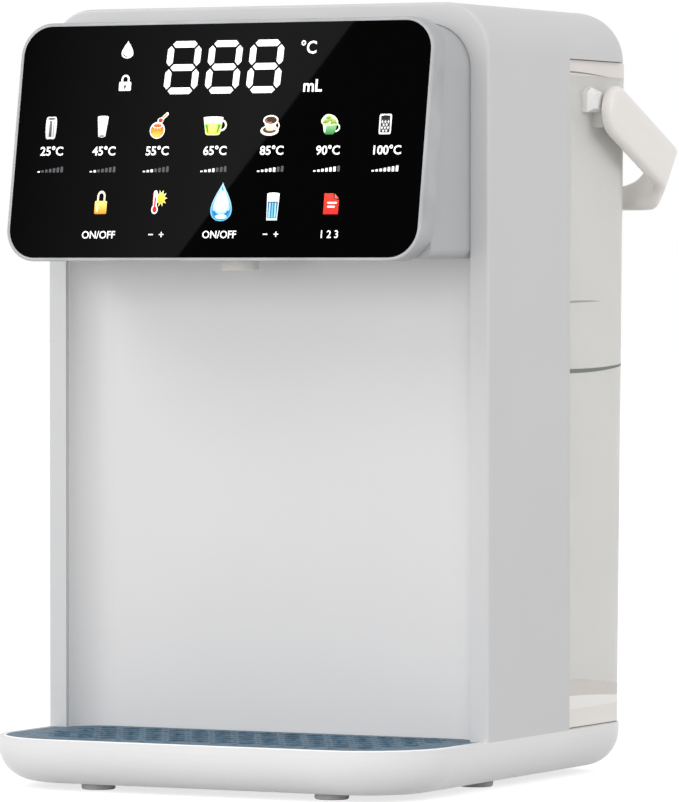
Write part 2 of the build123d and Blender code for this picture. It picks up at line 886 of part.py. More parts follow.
def make_pump_shaft():
    left = impeller_back - impeller_disc_t - impeller_vane_height
    right = pump_right - pump_wall + motor_bush_depth - impeller_gap
    return rod_x(left, right, pump_y, pump_z, shaft_r)


def make_pump_cradle():
    """Rubber block that carries the motor on the deck."""
    left = pump_right + (motor_length - cradle_length) / 2
    cradle = block(left, left + cradle_length, pump_y - cradle_half, pump_y + cradle_half,
                   base_top, pump_z - motor_r + cradle_wrap)
    return cradle - rod_x(left, left + cradle_length, pump_y, pump_z, motor_r)


# Power board

def make_power_board():
    return block(board_left, board_right, board_front, board_front + board_t,
                 board_low, board_high)


def make_board_standoffs():
    back = board_front + board_t
    return group([rod_y(back, cover_front, x, z, standoff_r)
                  for x in (board_left + standoff_inset, board_right - standoff_inset)
                  for z in (board_low + standoff_inset, board_high - standoff_inset)])


def on_board(left, low, size):
    """Box that stands on the board's front face; size is its width, height and depth."""
    width, height, depth = size
    return block(left, left + width, board_front - depth, board_front, low, low + height)


def capacitor_z():
    return (board_low + 2 * standoff_inset + transformer_size[1] + part_gap
            + capacitor_r)


def choke_low():
    return capacitor_z() + capacitor_r + part_gap


def make_board_parts():
    """Transformer, relay, choke and smoothing capacitors."""
    left = board_left + 2 * standoff_inset
    low = board_low + 2 * standoff_inset
    parts = [on_board(left, low, transformer_size),
             on_board(left + transformer_size[0] + part_gap, low, relay_size),
             on_board(left, choke_low(), choke_size)]
    for index in range(capacitor_count):
        x = left + capacitor_r + index * capacitor_step
        parts.append(rod_y(board_front - capacitor_length, board_front, x,
                           capacitor_z(), capacitor_r))
    return group(parts)


def make_heat_sink():
    """Finned aluminium sink of the heater's switching device."""
    left = board_right - 2 * standoff_inset - sink_width
    low = choke_low() + choke_size[1] + part_gap
    sink = on_board(left, low, (sink_width, sink_height, sink_base_t))
    for index in range(fin_count):
        x = left + index * (sink_width - fin_t) / (fin_count - 1)
        sink += on_board(x, low, (fin_t, sink_height, sink_base_t + fin_height))
    return sink


# Water tank

def tank_solid(inset, low, high, floor_r):
    """Tapered tank volume between two heights, drawn in on its sides."""
    def level(z):
        share = (z - base_top) / (tank_rim - base_top)
        half = tank_foot_half + (tank_top_half - tank_foot_half) * share
        rear = tank_foot_rear + (tank_top_rear - tank_foot_rear) * share
        face = outline(half - inset, tank_front + inset, rear - inset,
                       tank_front_r - inset, tank_rear_r - inset)
        return Pos(0, 0, z) * face
    volume = loft([level(low), level(high)], ruled=True)
    if floor_r:
        volume = chamfer(volume.edges().group_by(Axis.Z)[0], chord(floor_r))
    return volume


def make_tank():
    low = base_top + tank_rest_gap
    floor_low = tank_floor - tank_wall
    tank = tank_solid(0, low, tank_rim, 0)
    tank -= tank_solid(tank_wall, tank_floor, tank_rim, tank_front_r - tank_wall)
    tank -= tank_solid(tank_wall, low, floor_low, 0)
    tank -= rod_y(tank_front, tank_front + tank_wall, 0, coupler_z, nose_r + fit)
    for side in (-1, 1):
        lug = Pos(pivot_y, pivot_z) * Rectangle(2 * lug_half, 2 * lug_half)
        lug = chamfer(lug.vertices().group_by(Axis.Y)[-1], lug_chamfer)
        inner = side * (tank_top_half - tank_wall)
        outer = side * (tank_top_half + lug_reach)
        left, right = min(inner, outer), max(inner, outer)
        tank += extrude(Plane.YZ.offset(left) * lug, right - left)
        bore_end = side * tank_top_half
        left, right = min(bore_end, outer), max(bore_end, outer)
        tank -= rod_x(left, right, pivot_y, pivot_z, pin_r + pin_gap)
    return tank


def make_tank_lid():
    face = outline(tank_top_half, tank_front, tank_top_rear, tank_front_r, tank_rear_r)
    lid = rise(face, tank_rim, tank_rim + lid_t)
    lid = fillet(lid.edges().group_by(Axis.Z)[-1], lid_edge_r)
    low = tank_rim - lid_plug_depth
    edge = tank_wall + lid_plug_gap
    plug = (tank_solid(edge, low, tank_rim, 0)
            - tank_solid(edge + lid_plug_t, low, tank_rim, 0))
    return lid + plug


def make_lid_seal():
    high = tank_rim - tank_rest_gap
    low = high - seal_height
    return (tank_solid(tank_wall + seal_squeeze_gap, low, high, 0)
            - tank_solid(tank_wall + lid_plug_gap, low, high, 0))


def make_valve_body():
    """Valve in the tank's front wall, with the nose that plugs into the body."""
    body = rod_y(nose_front, valve_inner, 0, coupler_z, nose_r)
    body = chamfer(body.edges().group_by(Axis.Y)[0], (nose_r - nose_mouth_r) / 4)
    body += rod_y(valve_inner, valve_inner + valve_flange_t, 0, coupler_z, valve_flange_r)
    body += rod_y(valve_inner, valve_tube_end, 0, coupler_z, valve_tube_r)
    body -= rod_y(nose_front, seat_back, 0, coupler_z, nose_mouth_r)
    body -= rod_y(seat_back, valve_tube_end - valve_end_t, 0, coupler_z, valve_chamber_r)
    body -= rod_y(valve_tube_end - valve_end_t, valve_tube_end, 0, coupler_z,
                  poppet_stem_r * 2)
    return body - seal_ring(coupler_r)


def seal_ring(outer_r):
    """Ring over the groove near the tip of the nose."""
    back = seat_back + nose_seal_width
    groove_r = (nose_r + valve_chamber_r) / 2
    return (rod_y(seat_back, back, 0, coupler_z, outer_r)
            - rod_y(seat_back, back, 0, coupler_z, groove_r))


def make_nose_seal():
    return seal_ring(coupler_bore_r - shaft_gap)


def make_valve_gasket():
    front = tank_front + tank_wall
    ring = rod_y(front, front + gasket_t, 0, coupler_z, valve_flange_r)
    return ring - rod_y(front, front + gasket_t, 0, coupler_z, nose_r)


def make_valve_poppet():
    """Valve disc, held off its seat by the pin of the socket."""
    tip = body_depth - coupler_pin_tip + valve_tip_gap
    poppet = rod_y(tip, valve_tube_end, 0, coupler_z, poppet_stem_r)
    return poppet + rod_y(poppet_front, poppet_front + poppet_t, 0, coupler_z, poppet_r)


def make_valve_spring():
    start = poppet_front + poppet_t + spring_wire_r
    stop = valve_tube_end - valve_end_t - spring_wire_r
    coil = Helix((stop - start) / spring_turns, stop - start, spring_r)
    wire = Rectangle(2 * spring_wire_r, 2 * spring_wire_r)
    section = Plane(origin=coil @ 0, z_dir=coil % 0) * wire
    spring = sweep(section, path=coil, is_frenet=True)
    return Pos(0, start, coupler_z) * Rot(-90, 0, 0) * spring


def make_strainer():
    """Slotted cap over the valve's inlet."""
    front = valve_tube_end - strainer_grip
    end = valve_tube_end + strainer_reach
    cap = rod_y(front, end, 0, coupler_z, strainer_r)
    cap -= rod_y(front, valve_tube_end, 0, coupler_z, valve_tube_r)
    cap -= rod_y(front, end - strainer_wall, 0, coupler_z, strainer_r - 2 * strainer_wall)
    slot = block(-strainer_wall / 2, strainer_wall / 2, valve_tube_end + strainer_wall,
                 end - strainer_wall, 0, 2 * strainer_r)
    for index in range(strainer_slots):
        cap -= Pos(0, 0, coupler_z) * Rot(0, index * 360 / strainer_slots, 0) * slot
    return cap


# Handle

def arm_direction():
    return Vector(0, cos(radians(handle_droop)), -sin(radians(handle_droop)))


def across_direction():
    return Vector(0, sin(radians(handle_droop)), cos(radians(handle_droop)))


def make_handle():
    """Flat U-shaped bail with softened sides: two arms and a slanted grip behind the tank."""
    pivot = Vector(0, pivot_y, pivot_z)
    r = handle_arm_r
    plan = Plane(origin=pivot + across_direction() * r, x_dir=(1, 0, 0),
                 z_dir=across_direction())
    down = across_direction() * -1 - arm_direction() * handle_slant
    depth = (r + handle_drop) * down.length
    back = handle_reach + r
    band = handle_band * (1 + handle_slant ** 2) ** 0.5
    outer = outline(handle_inner + handle_band, -back, handle_reach, 0, handle_corner_r)
    inner = outline(handle_inner, -far, handle_reach - band, 0,
                    handle_corner_r - handle_band)
    bail = extrude(plan * (outer - inner), depth, dir=down)
    side = Plane(origin=pivot, x_dir=arm_direction(), z_dir=(1, 0, 0))
    toe = handle_reach - handle_slant * (r + handle_drop)
    knee = toe + handle_slant * (handle_drop - r) - band
    profile = make_face(Polyline((0, r), (handle_reach, r), (toe, -handle_drop),
                                 (toe - band, -handle_drop), (knee, -r), (0, -r), close=True))
    heel = profile.vertices().sort_by(Axis.X)[-1]
    profile = fillet(heel, handle_heel_r)
    profile = fillet(profile.vertices().group_by(Axis.Y)[0], handle_toe_r)
    inside = profile.vertices().sort_by_distance((knee, -r))[0]
    profile = fillet(inside, handle_knee_r) + Circle(r)
    half = handle_inner + handle_band - handle_soft
    envelope = extrude(side.offset(-half) * profile, 2 * half)
    for end in (-1, 1):
        envelope += extrude(side.offset(end * half) * profile, end * handle_soft, taper=45)
    bail &= envelope
    for end in (-1, 1):
        seat = end * (handle_inner + pin_seat)
        start = end * handle_inner
        bail -= rod_x(min(seat, start), max(seat, start), pivot_y, pivot_z, pin_r)
    return bail


def make_handle_pins():
    pins = []
    for end in (-1, 1):
        seat = end * (handle_inner + pin_seat)
        tip = end * (tank_top_half + fit)
        pins.append(rod_x(min(seat, tip), max(seat, tip), pivot_y, pivot_z, pin_r))
    return group(pins)


makers = {
    "base_shell": make_base_shell,
    "base_deck": make_base_deck,
    "feet": make_feet,
    "base_screws": make_base_screws,
    "cord_gland": make_cord_gland,
    "housing": make_housing,
    "bay_liner": make_bay_liner,
    "rear_cover": make_rear_cover,
    "cover_screws": make_cover_screws,
    "drip_basin": make_drip_basin,
    "drip_grille": make_drip_grille,
    "head_shell": make_head_shell,
    "bezel": make_bezel,
    "touch_glass": make_touch_glass,
    "digit_display": make_digit_display,
    "light_frame": make_light_frame,
    "display_board": make_display_board,
    "nozzle": make_nozzle,
    "nozzle_gasket": make_nozzle_gasket,
    "dock_coupler": make_dock_coupler,
    "inlet_tube": make_inlet_tube,
    "transfer_tube": make_transfer_tube,
    "outlet_tube": make_outlet_tube,
    "heater_tube": make_heater_tube,
    "heater_foot_cap": make_heater_foot_cap,
    "heater_top_cap": make_heater_top_cap,
    "heater_brackets": make_heater_brackets,
    "thermal_cutouts": make_thermal_cutouts,
    "temperature_probe": make_temperature_probe,
    "pump_body": make_pump_body,
    "pump_motor": make_pump_motor,
    "pump_impeller": make_pump_impeller,
    "pump_shaft": make_pump_shaft,
    "pump_cradle": make_pump_cradle,
    "power_board": make_power_board,
    "board_standoffs": make_board_standoffs,
    "board_parts": make_board_parts,
    "heat_sink": make_heat_sink,
    "tank": make_tank,
    "tank_lid": make_tank_lid,
    "lid_seal": make_lid_seal,
    "valve_body": make_valve_body,
    "nose_seal": make_nose_seal,
    "valve_gasket": make_valve_gasket,
    "valve_poppet": make_valve_poppet,
    "valve_spring": make_valve_spring,
    "strainer": make_strainer,
    "handle": make_handle,
    "handle_pins": make_handle_pins,
}

pieces = {name: make() for name, make in makers.items()}
handle_back = pieces["handle"].bounding_box().max.Y
centre_y = (base_front + handle_back) / 2

os.makedirs("parts", exist_ok=True)
for name, piece in pieces.items():
    export_step(Pos(0, -centre_y, 0) * piece, f"parts/{name}.step")
print(f"{len(pieces)} pieces; front plane of the body at y = {-centre_y:.4f}")
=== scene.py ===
import json
import math
import bmesh
import bpy
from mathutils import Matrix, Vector


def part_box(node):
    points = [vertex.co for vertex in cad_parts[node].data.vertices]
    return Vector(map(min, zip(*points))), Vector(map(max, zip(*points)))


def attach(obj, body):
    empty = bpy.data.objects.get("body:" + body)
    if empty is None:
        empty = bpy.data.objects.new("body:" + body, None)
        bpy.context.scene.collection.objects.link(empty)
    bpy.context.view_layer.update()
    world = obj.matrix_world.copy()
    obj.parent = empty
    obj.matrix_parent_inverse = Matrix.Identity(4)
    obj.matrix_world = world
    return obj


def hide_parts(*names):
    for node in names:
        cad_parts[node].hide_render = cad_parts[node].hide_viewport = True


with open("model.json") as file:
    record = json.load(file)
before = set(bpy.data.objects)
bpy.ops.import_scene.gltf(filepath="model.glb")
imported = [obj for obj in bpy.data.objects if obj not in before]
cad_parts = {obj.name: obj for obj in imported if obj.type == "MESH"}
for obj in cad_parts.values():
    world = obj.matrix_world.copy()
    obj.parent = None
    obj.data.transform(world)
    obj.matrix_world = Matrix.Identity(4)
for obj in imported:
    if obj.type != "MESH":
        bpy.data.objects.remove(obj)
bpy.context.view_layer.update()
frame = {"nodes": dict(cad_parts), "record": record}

# Countertop instant hot water dispenser: finishes, panel graphics and fine detail on the packed
# solids. Places and sizes are given in millimetres, as in the part: X to the right, Y back from
# the body's front plane, Z up from the worktop. MM turns them into metres.

MM = 0.001
body_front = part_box("housing")[0].y


def spot(x, y, z):
    """Point of the part in the scene's frame."""
    return Vector((x * MM, body_front + y * MM, z * MM))


def linear(code):
    """sRGB hex colour as linear RGBA."""
    channels = [int(code[i:i + 2], 16) / 255 for i in (1, 3, 5)]
    return [c / 12.92 if c <= 0.04045 else ((c + 0.055) / 1.055) ** 2.4
            for c in channels] + [1.0]


def add(tree, kind, settings):
    """Adds a node. A lower-case key is a property; any other key is an input socket."""
    made = tree.nodes.new(kind)
    for key, value in settings.items():
        if isinstance(key, str) and key[0].islower():
            setattr(made, key, value)
        elif isinstance(value, bpy.types.NodeSocket):
            tree.links.new(value, made.inputs[key])
        else:
            made.inputs[key].default_value = value
    return made


def new_material(name):
    """Empty material and its node tree."""
    material = bpy.data.materials.new(name)
    material.use_nodes = True
    material.node_tree.nodes.clear()
    return material, material.node_tree


def new_mesh(name, points, faces=()):
    mesh = bpy.data.meshes.new(name)
    mesh.from_pydata(points, [], faces)
    return mesh


def closed_mesh(name, blocks):
    """Mesh of closed blocks; each is a row of rings of points, capped at both ends."""
    shape = bmesh.new()
    for block in blocks:
        rings = [[shape.verts.new(point) for point in ring] for ring in block]
        for low, high in zip(rings, rings[1:]):
            for i in range(len(low)):
                k = (i + 1) % len(low)
                shape.faces.new((low[i], low[k], high[k], high[i]))
        shape.faces.new(rings[0])
        shape.faces.new(rings[-1])
    bmesh.ops.recalc_face_normals(shape, faces=shape.faces)
    mesh = bpy.data.meshes.new(name)
    shape.to_mesh(mesh)
    return mesh


def show(obj):
    """Puts an object in the scene."""
    bpy.context.scene.collection.objects.link(obj)
    return obj


def show_mesh(name, mesh, material, smooth=False):
    """Puts a mesh with one finish in the scene."""
    mesh.materials.append(material)
    for face in mesh.polygons:
        face.use_smooth = smooth
    return show(bpy.data.objects.new(name, mesh))


def baked(obj):
    """Mesh of an object with its modifiers applied; the object itself goes."""
    bpy.context.view_layer.update()
    graph = bpy.context.evaluated_depsgraph_get()
    mesh = bpy.data.meshes.new_from_object(obj.evaluated_get(graph))
    bpy.data.objects.remove(obj)
    return mesh


# Finishes. A grain is given by the size of its grit in millimetres, and its depth likewise.

def mould_grain(tree, grain_mm, depth_mm, stretch=(1, 1, 1)):
    """Relief that the tool's surface leaves; stretch draws it out into brush or flow lines."""
    place = add(tree, "ShaderNodeTexCoord", {})
    drawn = add(tree, "ShaderNodeMapping", {"Vector": place.outputs["Object"],
                                            "Scale": stretch})
    grit = add(tree, "ShaderNodeTexNoise", {"Vector": drawn.outputs["Vector"],
                                            "Scale": 1 / (grain_mm * MM), "Detail": 2.0})
    relief = add(tree, "ShaderNodeBump", {"Height": grit.outputs["Fac"],
                                          "Distance": depth_mm * MM, "Strength": 1.0})
    return grit.outputs["Fac"], relief.outputs["Normal"]


def clouded(tree, code, vary, cloud_mm):
    """Colour that darkens a little in wide soft patches, as melt and pigment settle."""
    place = add(tree, "ShaderNodeTexCoord", {})
    cloud = add(tree, "ShaderNodeTexNoise", {"Vector": place.outputs["Object"],
                                             "Scale": 1 / (cloud_mm * MM), "Detail": 1.0})
    tone = add(tree, "ShaderNodeMapRange", {"Value": cloud.outputs["Fac"], "From Min": 0.3,
                                            "From Max": 0.7, "To Min": 1 - vary})
    tinted = add(tree, "ShaderNodeHueSaturation", {"Color": linear(code),
                                                   "Value": tone.outputs["Result"]})
    return tinted.outputs["Color"]


def uneven(tree, factor, middle, swing):
    """Roughness that follows a pattern."""
    level = add(tree, "ShaderNodeMapRange", {"Value": factor, "To Min": middle - swing,
                                             "To Max": middle + swing})
    return level.outputs["Result"]


def finish(name, code, roughness, grain, vary=0.03, cloud_mm=60.0, stretch=(1, 1, 1),
           swing=0.05, **more):
    """Material with a relief, a slight change of tone and a slight change of gloss.

    grain is the grit's size and depth in millimetres; more holds the shader's other sockets.
    """
    material, tree = new_material(name)
    grit, normal = mould_grain(tree, *grain, stretch)
    settings = {"Base Color": clouded(tree, code, vary, cloud_mm),
                "Roughness": uneven(tree, grit, roughness, swing), "Normal": normal}
    settings.update({key.replace("_", " "): value for key, value in more.items()})
    shader = add(tree, "ShaderNodeBsdfPrincipled", settings)
    add(tree, "ShaderNodeOutputMaterial", {"Surface": shader.outputs["BSDF"]})
    return material


finishes = {
    # ABS moulded in a finely spark-eroded tool: soft, even satin with no sparkle
    "body_grey": finish("satin_abs_light_grey", "#D0D0D1", 0.42, (0.5, 0.010), 0.02),
    # ABS from a polished tool: whiter, with a softer and brighter reflection
    "liner_white": finish("semigloss_abs_bay_white", "#E0DFDF", 0.34, (0.6, 0.006), 0.02),
    "base_white": finish("gloss_abs_base_white", "#E8E8E8", 0.30, (0.8, 0.004), 0.02),
    # ABS with a coarser spark grain on the sides of the head: flat grey, darker than the body's
    # grey as painted shade
    "head_grey": finish("fine_grain_abs_head_grey_painted_shade", "#B6B7B8", 0.50, (0.7, 0.016), 0.03),
    # Sprayed silver lacquer: its metal flake lies unevenly, so it brightens in soft patches
    "bezel_silver": finish("sprayed_silver_lacquer", "#B4B5B7", 0.55, (0.25, 0.003), 0.16,
                           16.0, swing=0.08, Metallic=0.35),
    # Toughened glass, printed black on its back: deep black, and only a thin sheen
    "panel_glass": finish("back_printed_black_glass", "#010101", 0.012, (60.0, 0.001), 0.1,
                          80.0, swing=0.008, Specular_IOR_Level=0.02),
    "display_white": finish("diffuser_polycarbonate", "#EEEEEE", 0.45, (0.4, 0.01)),
    "display_black": finish("light_frame_black_abs", "#0B0B0C", 0.55, (0.5, 0.01)),
    # Glass-epoxy laminate: the weave of its cloth shows faintly through the green lacquer
    "board_green": finish("glass_epoxy_laminate", "#12603C", 0.35, (0.5, 0.01), 0.25, 3.0,
                          (1, 1, 3), Coat_Weight=0.5),
    "part_black": finish("component_black_epoxy", "#141517", 0.5, (0.4, 0.012), 0.1, 8.0),
    # Unpigmented nylon: creamy, slightly see-through at its edges
    "nylon_natural": finish("natural_nylon_moulding", "#E6E4DE", 0.42, (0.6, 0.01), 0.06,
                            12.0, Subsurface_Weight=0.15, Subsurface_Scale=0.002),
    "silicone": finish("platinum_cured_silicone", "#D3D4CF", 0.48, (0.5, 0.006), 0.05, 15.0,
                       Subsurface_Weight=0.3, Subsurface_Scale=0.003),
    # Moulded thermoplastic rubber: matt, with a faint bloom
    "rubber_grey": finish("moulded_rubber_pale_grey", "#D2D3D4", 0.72, (0.4, 0.03), 0.12, 6.0,
                          Sheen_Weight=0.15),
    # Drawn and turned stainless steel: fine lines along the way it was drawn
    "steel": finish("drawn_stainless_steel", "#BDBEC0", 0.28, (0.3, 0.004), 0.08, 10.0,
                    (1, 1, 0.06), 0.08, Metallic=1.0),
    "sink_aluminium": finish("extruded_aluminium", "#BFC1C4", 0.36, (0.3, 0.006), 0.06, 10.0,
                             (1, 1, 0.04), 0.08, Metallic=1.0),
    # Polypropylene in a rough tool: slate blue, lightly mottled, dull
    "grille_blue": finish("mottled_polypropylene_slate", "#597B92", 0.55, (0.9, 0.05), 0.6,
                          3.0, swing=0.08),
    # Frosted copolyester: light comes through, and shapes behind it blur away
    "tank_clear": finish("frosted_clear_copolyester", "#FFFEFB", 0.34, (3.0, 0.004), 0.02, 90.0,
                         swing=0.03, IOR=1.54, Transmission_Weight=0.5),
    "tank_lid": finish("milky_copolyester_lid", "#E8E1DE", 0.30, (0.6, 0.006), 0.03, 40.0,
                       Subsurface_Weight=0.2, Subsurface_Scale=0.003),
    "handle_white": finish("satin_abs_warm_white", "#F3EFEB", 0.33, (0.6, 0.008), 0.02),
}
# The basin under the grille, smooth and deeper in colour: painted shade seen through the holes
basin_painted_shade = finish("smooth_polypropylene_slate_painted_shade", "#1D2E39", 0.28, (0.9, 0.02), 0.3, 6.0)
for row in frame["record"]["subparts"]:
    node = frame["nodes"][row["node"]]
    node.data.materials.clear()
    node.data.materials.append(finishes[row["material_slot"]])
frame["nodes"]["drip_basin"].data.materials[0] = basin_painted_shade


# Panel graphics. A sign is drawn in millimetres about its own middle, as seen from the front,
# and lies on the leaning glass, each layer a hair above the one below.

PANEL_Y, PANEL_Z = -40.0, 257.2
PANEL_LEAN = math.radians(9.6)
FIRST_LAYER, LAYER_STEP = 0.04, 0.012
INK_GLOW = 0.52
WHITE = "#FFFFFF"


def glass_y(z):
    """Where the leaning glass lies at a height."""
    return PANEL_Y + (z - PANEL_Z) * math.tan(PANEL_LEAN)


class Ink:
    """Collects flat coloured shapes that make one print."""

    def __init__(self):
        self.points, self.faces, self.colours = [], [], []

    def start_sign(self, x, z, wide=1.0, tall=1.0):
        """The next shapes lie on the glass again, scaled about this middle."""
        self.x, self.z, self.wide, self.tall, self.layer = x, z, wide, tall, 0

    def fill(self, outline, low, high=None):
        """Closed shape of one colour, or fading upwards from low to high."""
        low, high = linear(low), linear(high or low)
        heights = [z for _, z in outline]
        bottom, span = min(heights), max(max(heights) - min(heights), 1e-6)
        first = len(self.points)
        proud = FIRST_LAYER + self.layer * LAYER_STEP
        for x, z in outline:
            share = (z - bottom) / span
            level = self.z + z * self.tall
            self.points.append(spot(self.x + x * self.wide,
                                    glass_y(level) - proud / math.cos(PANEL_LEAN), level))
            self.colours.append([a + (b - a) * share for a, b in zip(low, high)])
        self.faces.append(list(range(first, len(self.points))))
        self.layer += 1


def ellipse(x, z, half_x, half_z, start=0, stop=360, steps=28):
    angles = [math.radians(start + (stop - start) * i / steps)
              for i in range(steps + (stop - start != 360))]
    return [(x + half_x * math.cos(a), z + half_z * math.sin(a)) for a in angles]


def band(x, z, half_x, half_z, width, start=0, stop=360, steps=28):
    """Arc of an elliptical ring as one outline; its width is measured inwards."""
    outer = ellipse(x, z, half_x, half_z, start, stop - 0.01, steps)
    inner = ellipse(x, z, half_x - width, half_z - width, start, stop - 0.01, steps)
    return outer + inner[::-1]


def box_outline(left, right, low, high, r=0.0):
    if not r:
        return [(left, low), (right, low), (right, high), (left, high)]
    corners = [(right - r, high - r, 0), (left + r, high - r, 90),
               (left + r, low + r, 180), (right - r, low + r, 270)]
    return [p for x, z, turn in corners for p in ellipse(x, z, r, r, turn, turn + 90, 5)]


def curve_through(points, steps=6):
    """Closed smooth outline through the points."""
    count, outline = len(points), []
    for i in range(count):
        a, b, c, d = (points[(i + k - 1) % count] for k in range(4))
        for s in range(steps):
            t = s / steps
            outline.append(tuple(
                0.5 * (2 * b[k] + (c[k] - a[k]) * t
                       + (2 * a[k] - 5 * b[k] + 4 * c[k] - d[k]) * t * t
                       + (3 * b[k] - a[k] - 3 * c[k] + d[k]) * t ** 3) for k in (0, 1)))
    return outline


def stroke(start, stop, width):
    """Straight line with round ends."""
    dx, dz = stop[0] - start[0], stop[1] - start[1]
    turn = math.degrees(math.atan2(dz, dx))
    r = width / 2
    return (ellipse(*stop, r, r, turn - 90, turn + 90, 6)
            + ellipse(*start, r, r, turn + 90, turn + 270, 6))


def drop_outline(low, width, height, steps=44):
    """Water drop: a round foot drawn out to a fine tip."""
    turns = [2 * math.pi * i / steps for i in range(steps)]
    swell = [math.sin(a) * abs(math.sin(a / 2)) ** 1.5 for a in turns]
    widest = max(swell)
    return [(width / 2 * side / widest, low + height * (1 + math.cos(a)) / 2)
            for a, side in zip(turns, swell)]


# Seven-bar figures: their size, their bars, the gap between two bars' tips, and their lean
FIGURE_WIDTH, FIGURE_HEIGHT = 15.0, 21.0
BAR_X, BAR_Z, BAR_GAP = 2.8, 2.6, 0.6
FIGURE_LEAN = 0.045


def figure_bar(ink, x, z, length, thick, upright=False):
    """Long hexagon, sheared with its figure."""
    half, t = length / 2, thick / 2
    bar = [(-half, 0), (-half + t, -t), (half - t, -t), (half, 0), (half - t, t), (-half + t, t)]
    if upright:
        bar = [(b, a) for a, b in reversed(bar)]
    ink.layer = 0
    ink.fill([(x + a + (z + b) * FIGURE_LEAN, z + b) for a, b in bar], WHITE)


def seven_bar_figure(ink):
    side, level = (FIGURE_WIDTH - BAR_X) / 2, (FIGURE_HEIGHT - BAR_Z) / 2
    for z in (-level, 0, level):
        figure_bar(ink, 0, z, 2 * side - 2 * BAR_GAP, BAR_Z)
    for x in (-side, side):
        for z in (-level / 2, level / 2):
            figure_bar(ink, x, z, level - 2 * BAR_GAP, BAR_X, True)


def padlock(ink, width, height, body, light, shackle):
    """Padlock about its middle; its measures go with its width and height."""
    low, half = -height / 2, width / 2
    top = low + height * 0.56
    arch_r, thick = half * 0.68, width * 0.15
    shoulder = low + height - arch_r
    ink.fill(band(0, shoulder, arch_r, arch_r, thick, 0, 180, 16), shackle)
    for side in (-1, 1):
        inner, outer = sorted((side * (arch_r - thick), side * arch_r))
        ink.fill(box_outline(inner, outer, top - 0.3, shoulder + 0.02), shackle)
    ink.fill(box_outline(-half, half, low, top, width * 0.09), body, light)


def keyhole(ink, z, r, code):
    ink.fill(ellipse(0, z, r, r, steps=12), code)
    ink.fill([(-r * 0.45, z), (r * 0.45, z), (r * 0.7, z - r * 2.2), (-r * 0.7, z - r * 2.2)],
             code)


def gold_padlock_sign(ink):
    padlock(ink, 7.0, 9.8, "#C98A10", "#FFE07A", "#E9DCC0")
    ink.fill(box_outline(-2.6, -1.4, -4.0, -0.6, 0.3), "#FFF0A8")


def tumbler_sign(ink):
    """Plain steel tumbler."""
    half, low, high = 3.0, -4.2, 4.0
    ink.fill(curve_through([(-half, high), (-half + 0.2, low), (0, low - 0.7),
                            (half - 0.2, low), (half, high), (0, high + 0.8)]),
             "#B9BBBD", "#F4F5F6")
    ink.fill(box_outline(-1.1, 0.5, low + 0.2, high - 0.6, 0.3), "#3A3B3D", "#77797B")
    ink.fill(box_outline(1.3, 1.8, low + 0.4, high - 0.8, 0.2), "#8B8D8F")
    ink.fill(ellipse(0, high, half, 0.85), WHITE)
    ink.fill(ellipse(0, high, half - 0.6, 0.5), "#55575A")
    ink.fill(band(0, low + 0.3, half - 0.4, 0.8, 0.25, 180, 360, 12), WHITE)


def milk_sign(ink):
    """Tapered glass of milk."""
    low, high = -4.6, 4.5
    ink.fill([(-2.9, high), (-1.9, low + 0.5), (0, low), (1.9, low + 0.5), (2.9, high)],
             "#C9CACB", WHITE)
    ink.fill([(-2.3, high - 1.0), (-1.55, low + 1.4), (-0.9, low + 1.2), (-1.2, high - 1.0)],
             WHITE)
    ink.fill(ellipse(0, high, 2.95, 0.6), WHITE)
    ink.fill(ellipse(0, high - 0.05, 2.3, 0.35), "#D5D6D8")
    ink.fill(ellipse(0, low + 0.75, 1.3, 0.35), "#6F7174")


def honey_sign(ink):
    """Round honey pot and a dipper."""
    ink.fill(stroke((4.2, 5.6), (0.6, 2.6), 1.5), WHITE)
    ink.fill(stroke((4.0, 5.4), (1.9, 3.7), 0.7), "#C98A4A")
    for x, z, half_x, half_z, low, high in (
            (0.7, 2.7, 1.6, 1.25, WHITE, WHITE), (0.8, 2.8, 1.2, 0.9, "#A31E12", "#D3462A"),
            (-0.6, -1.6, 4.1, 3.7, WHITE, WHITE), (-0.6, -1.7, 3.6, 3.2, "#FFB53C", "#D1551A"),
            (-0.9, -3.0, 2.4, 1.4, "#FFC95E", "#F09A2C"), (-0.6, 0.5, 2.9, 1.15, WHITE, WHITE),
            (-0.6, 0.45, 2.3, 0.8, "#C4401A", "#E8853A")):
        ink.fill(ellipse(x, z, half_x, half_z), low, high)
    for turn in (-1, 0, 1):
        ink.fill(stroke((-0.6 + turn * 1.2, -0.2), (-0.6 + turn * 1.5, -1.0), 0.35), "#FFE0A0")


def tea_cup_sign(ink):
    """Glass cup of green tea."""
    ink.fill(band(3.2, 0.3, 2.7, 2.6, 0.85, -110, 95, 18), "#F2F6E4")
    ink.fill([(-5.6, 3.7), (-4.2, -3.4), (-3.2, -4.0), (1.9, -4.0), (2.9, -3.4), (4.0, 3.7)],
             "#DDEB9C", "#F4F8F4")
    ink.fill([(-4.9, 0.9), (-3.8, -3.0), (-2.9, -3.5), (1.6, -3.5), (2.5, -3.0), (3.4, 0.9)],
             "#C9E23A", "#8FC93C")
    ink.fill(ellipse(-0.8, -0.7, 2.2, 2.3), "#DDF06A", "#E8F48C")
    for side in (-1, 1):
        ink.fill(stroke((-0.8 + side * 3.1, 0.4), (-0.8 + side * 2.3, -2.6), 0.5), "#2F7D1E")
    ink.fill(ellipse(-0.8, 3.7, 4.8, 0.5), WHITE)


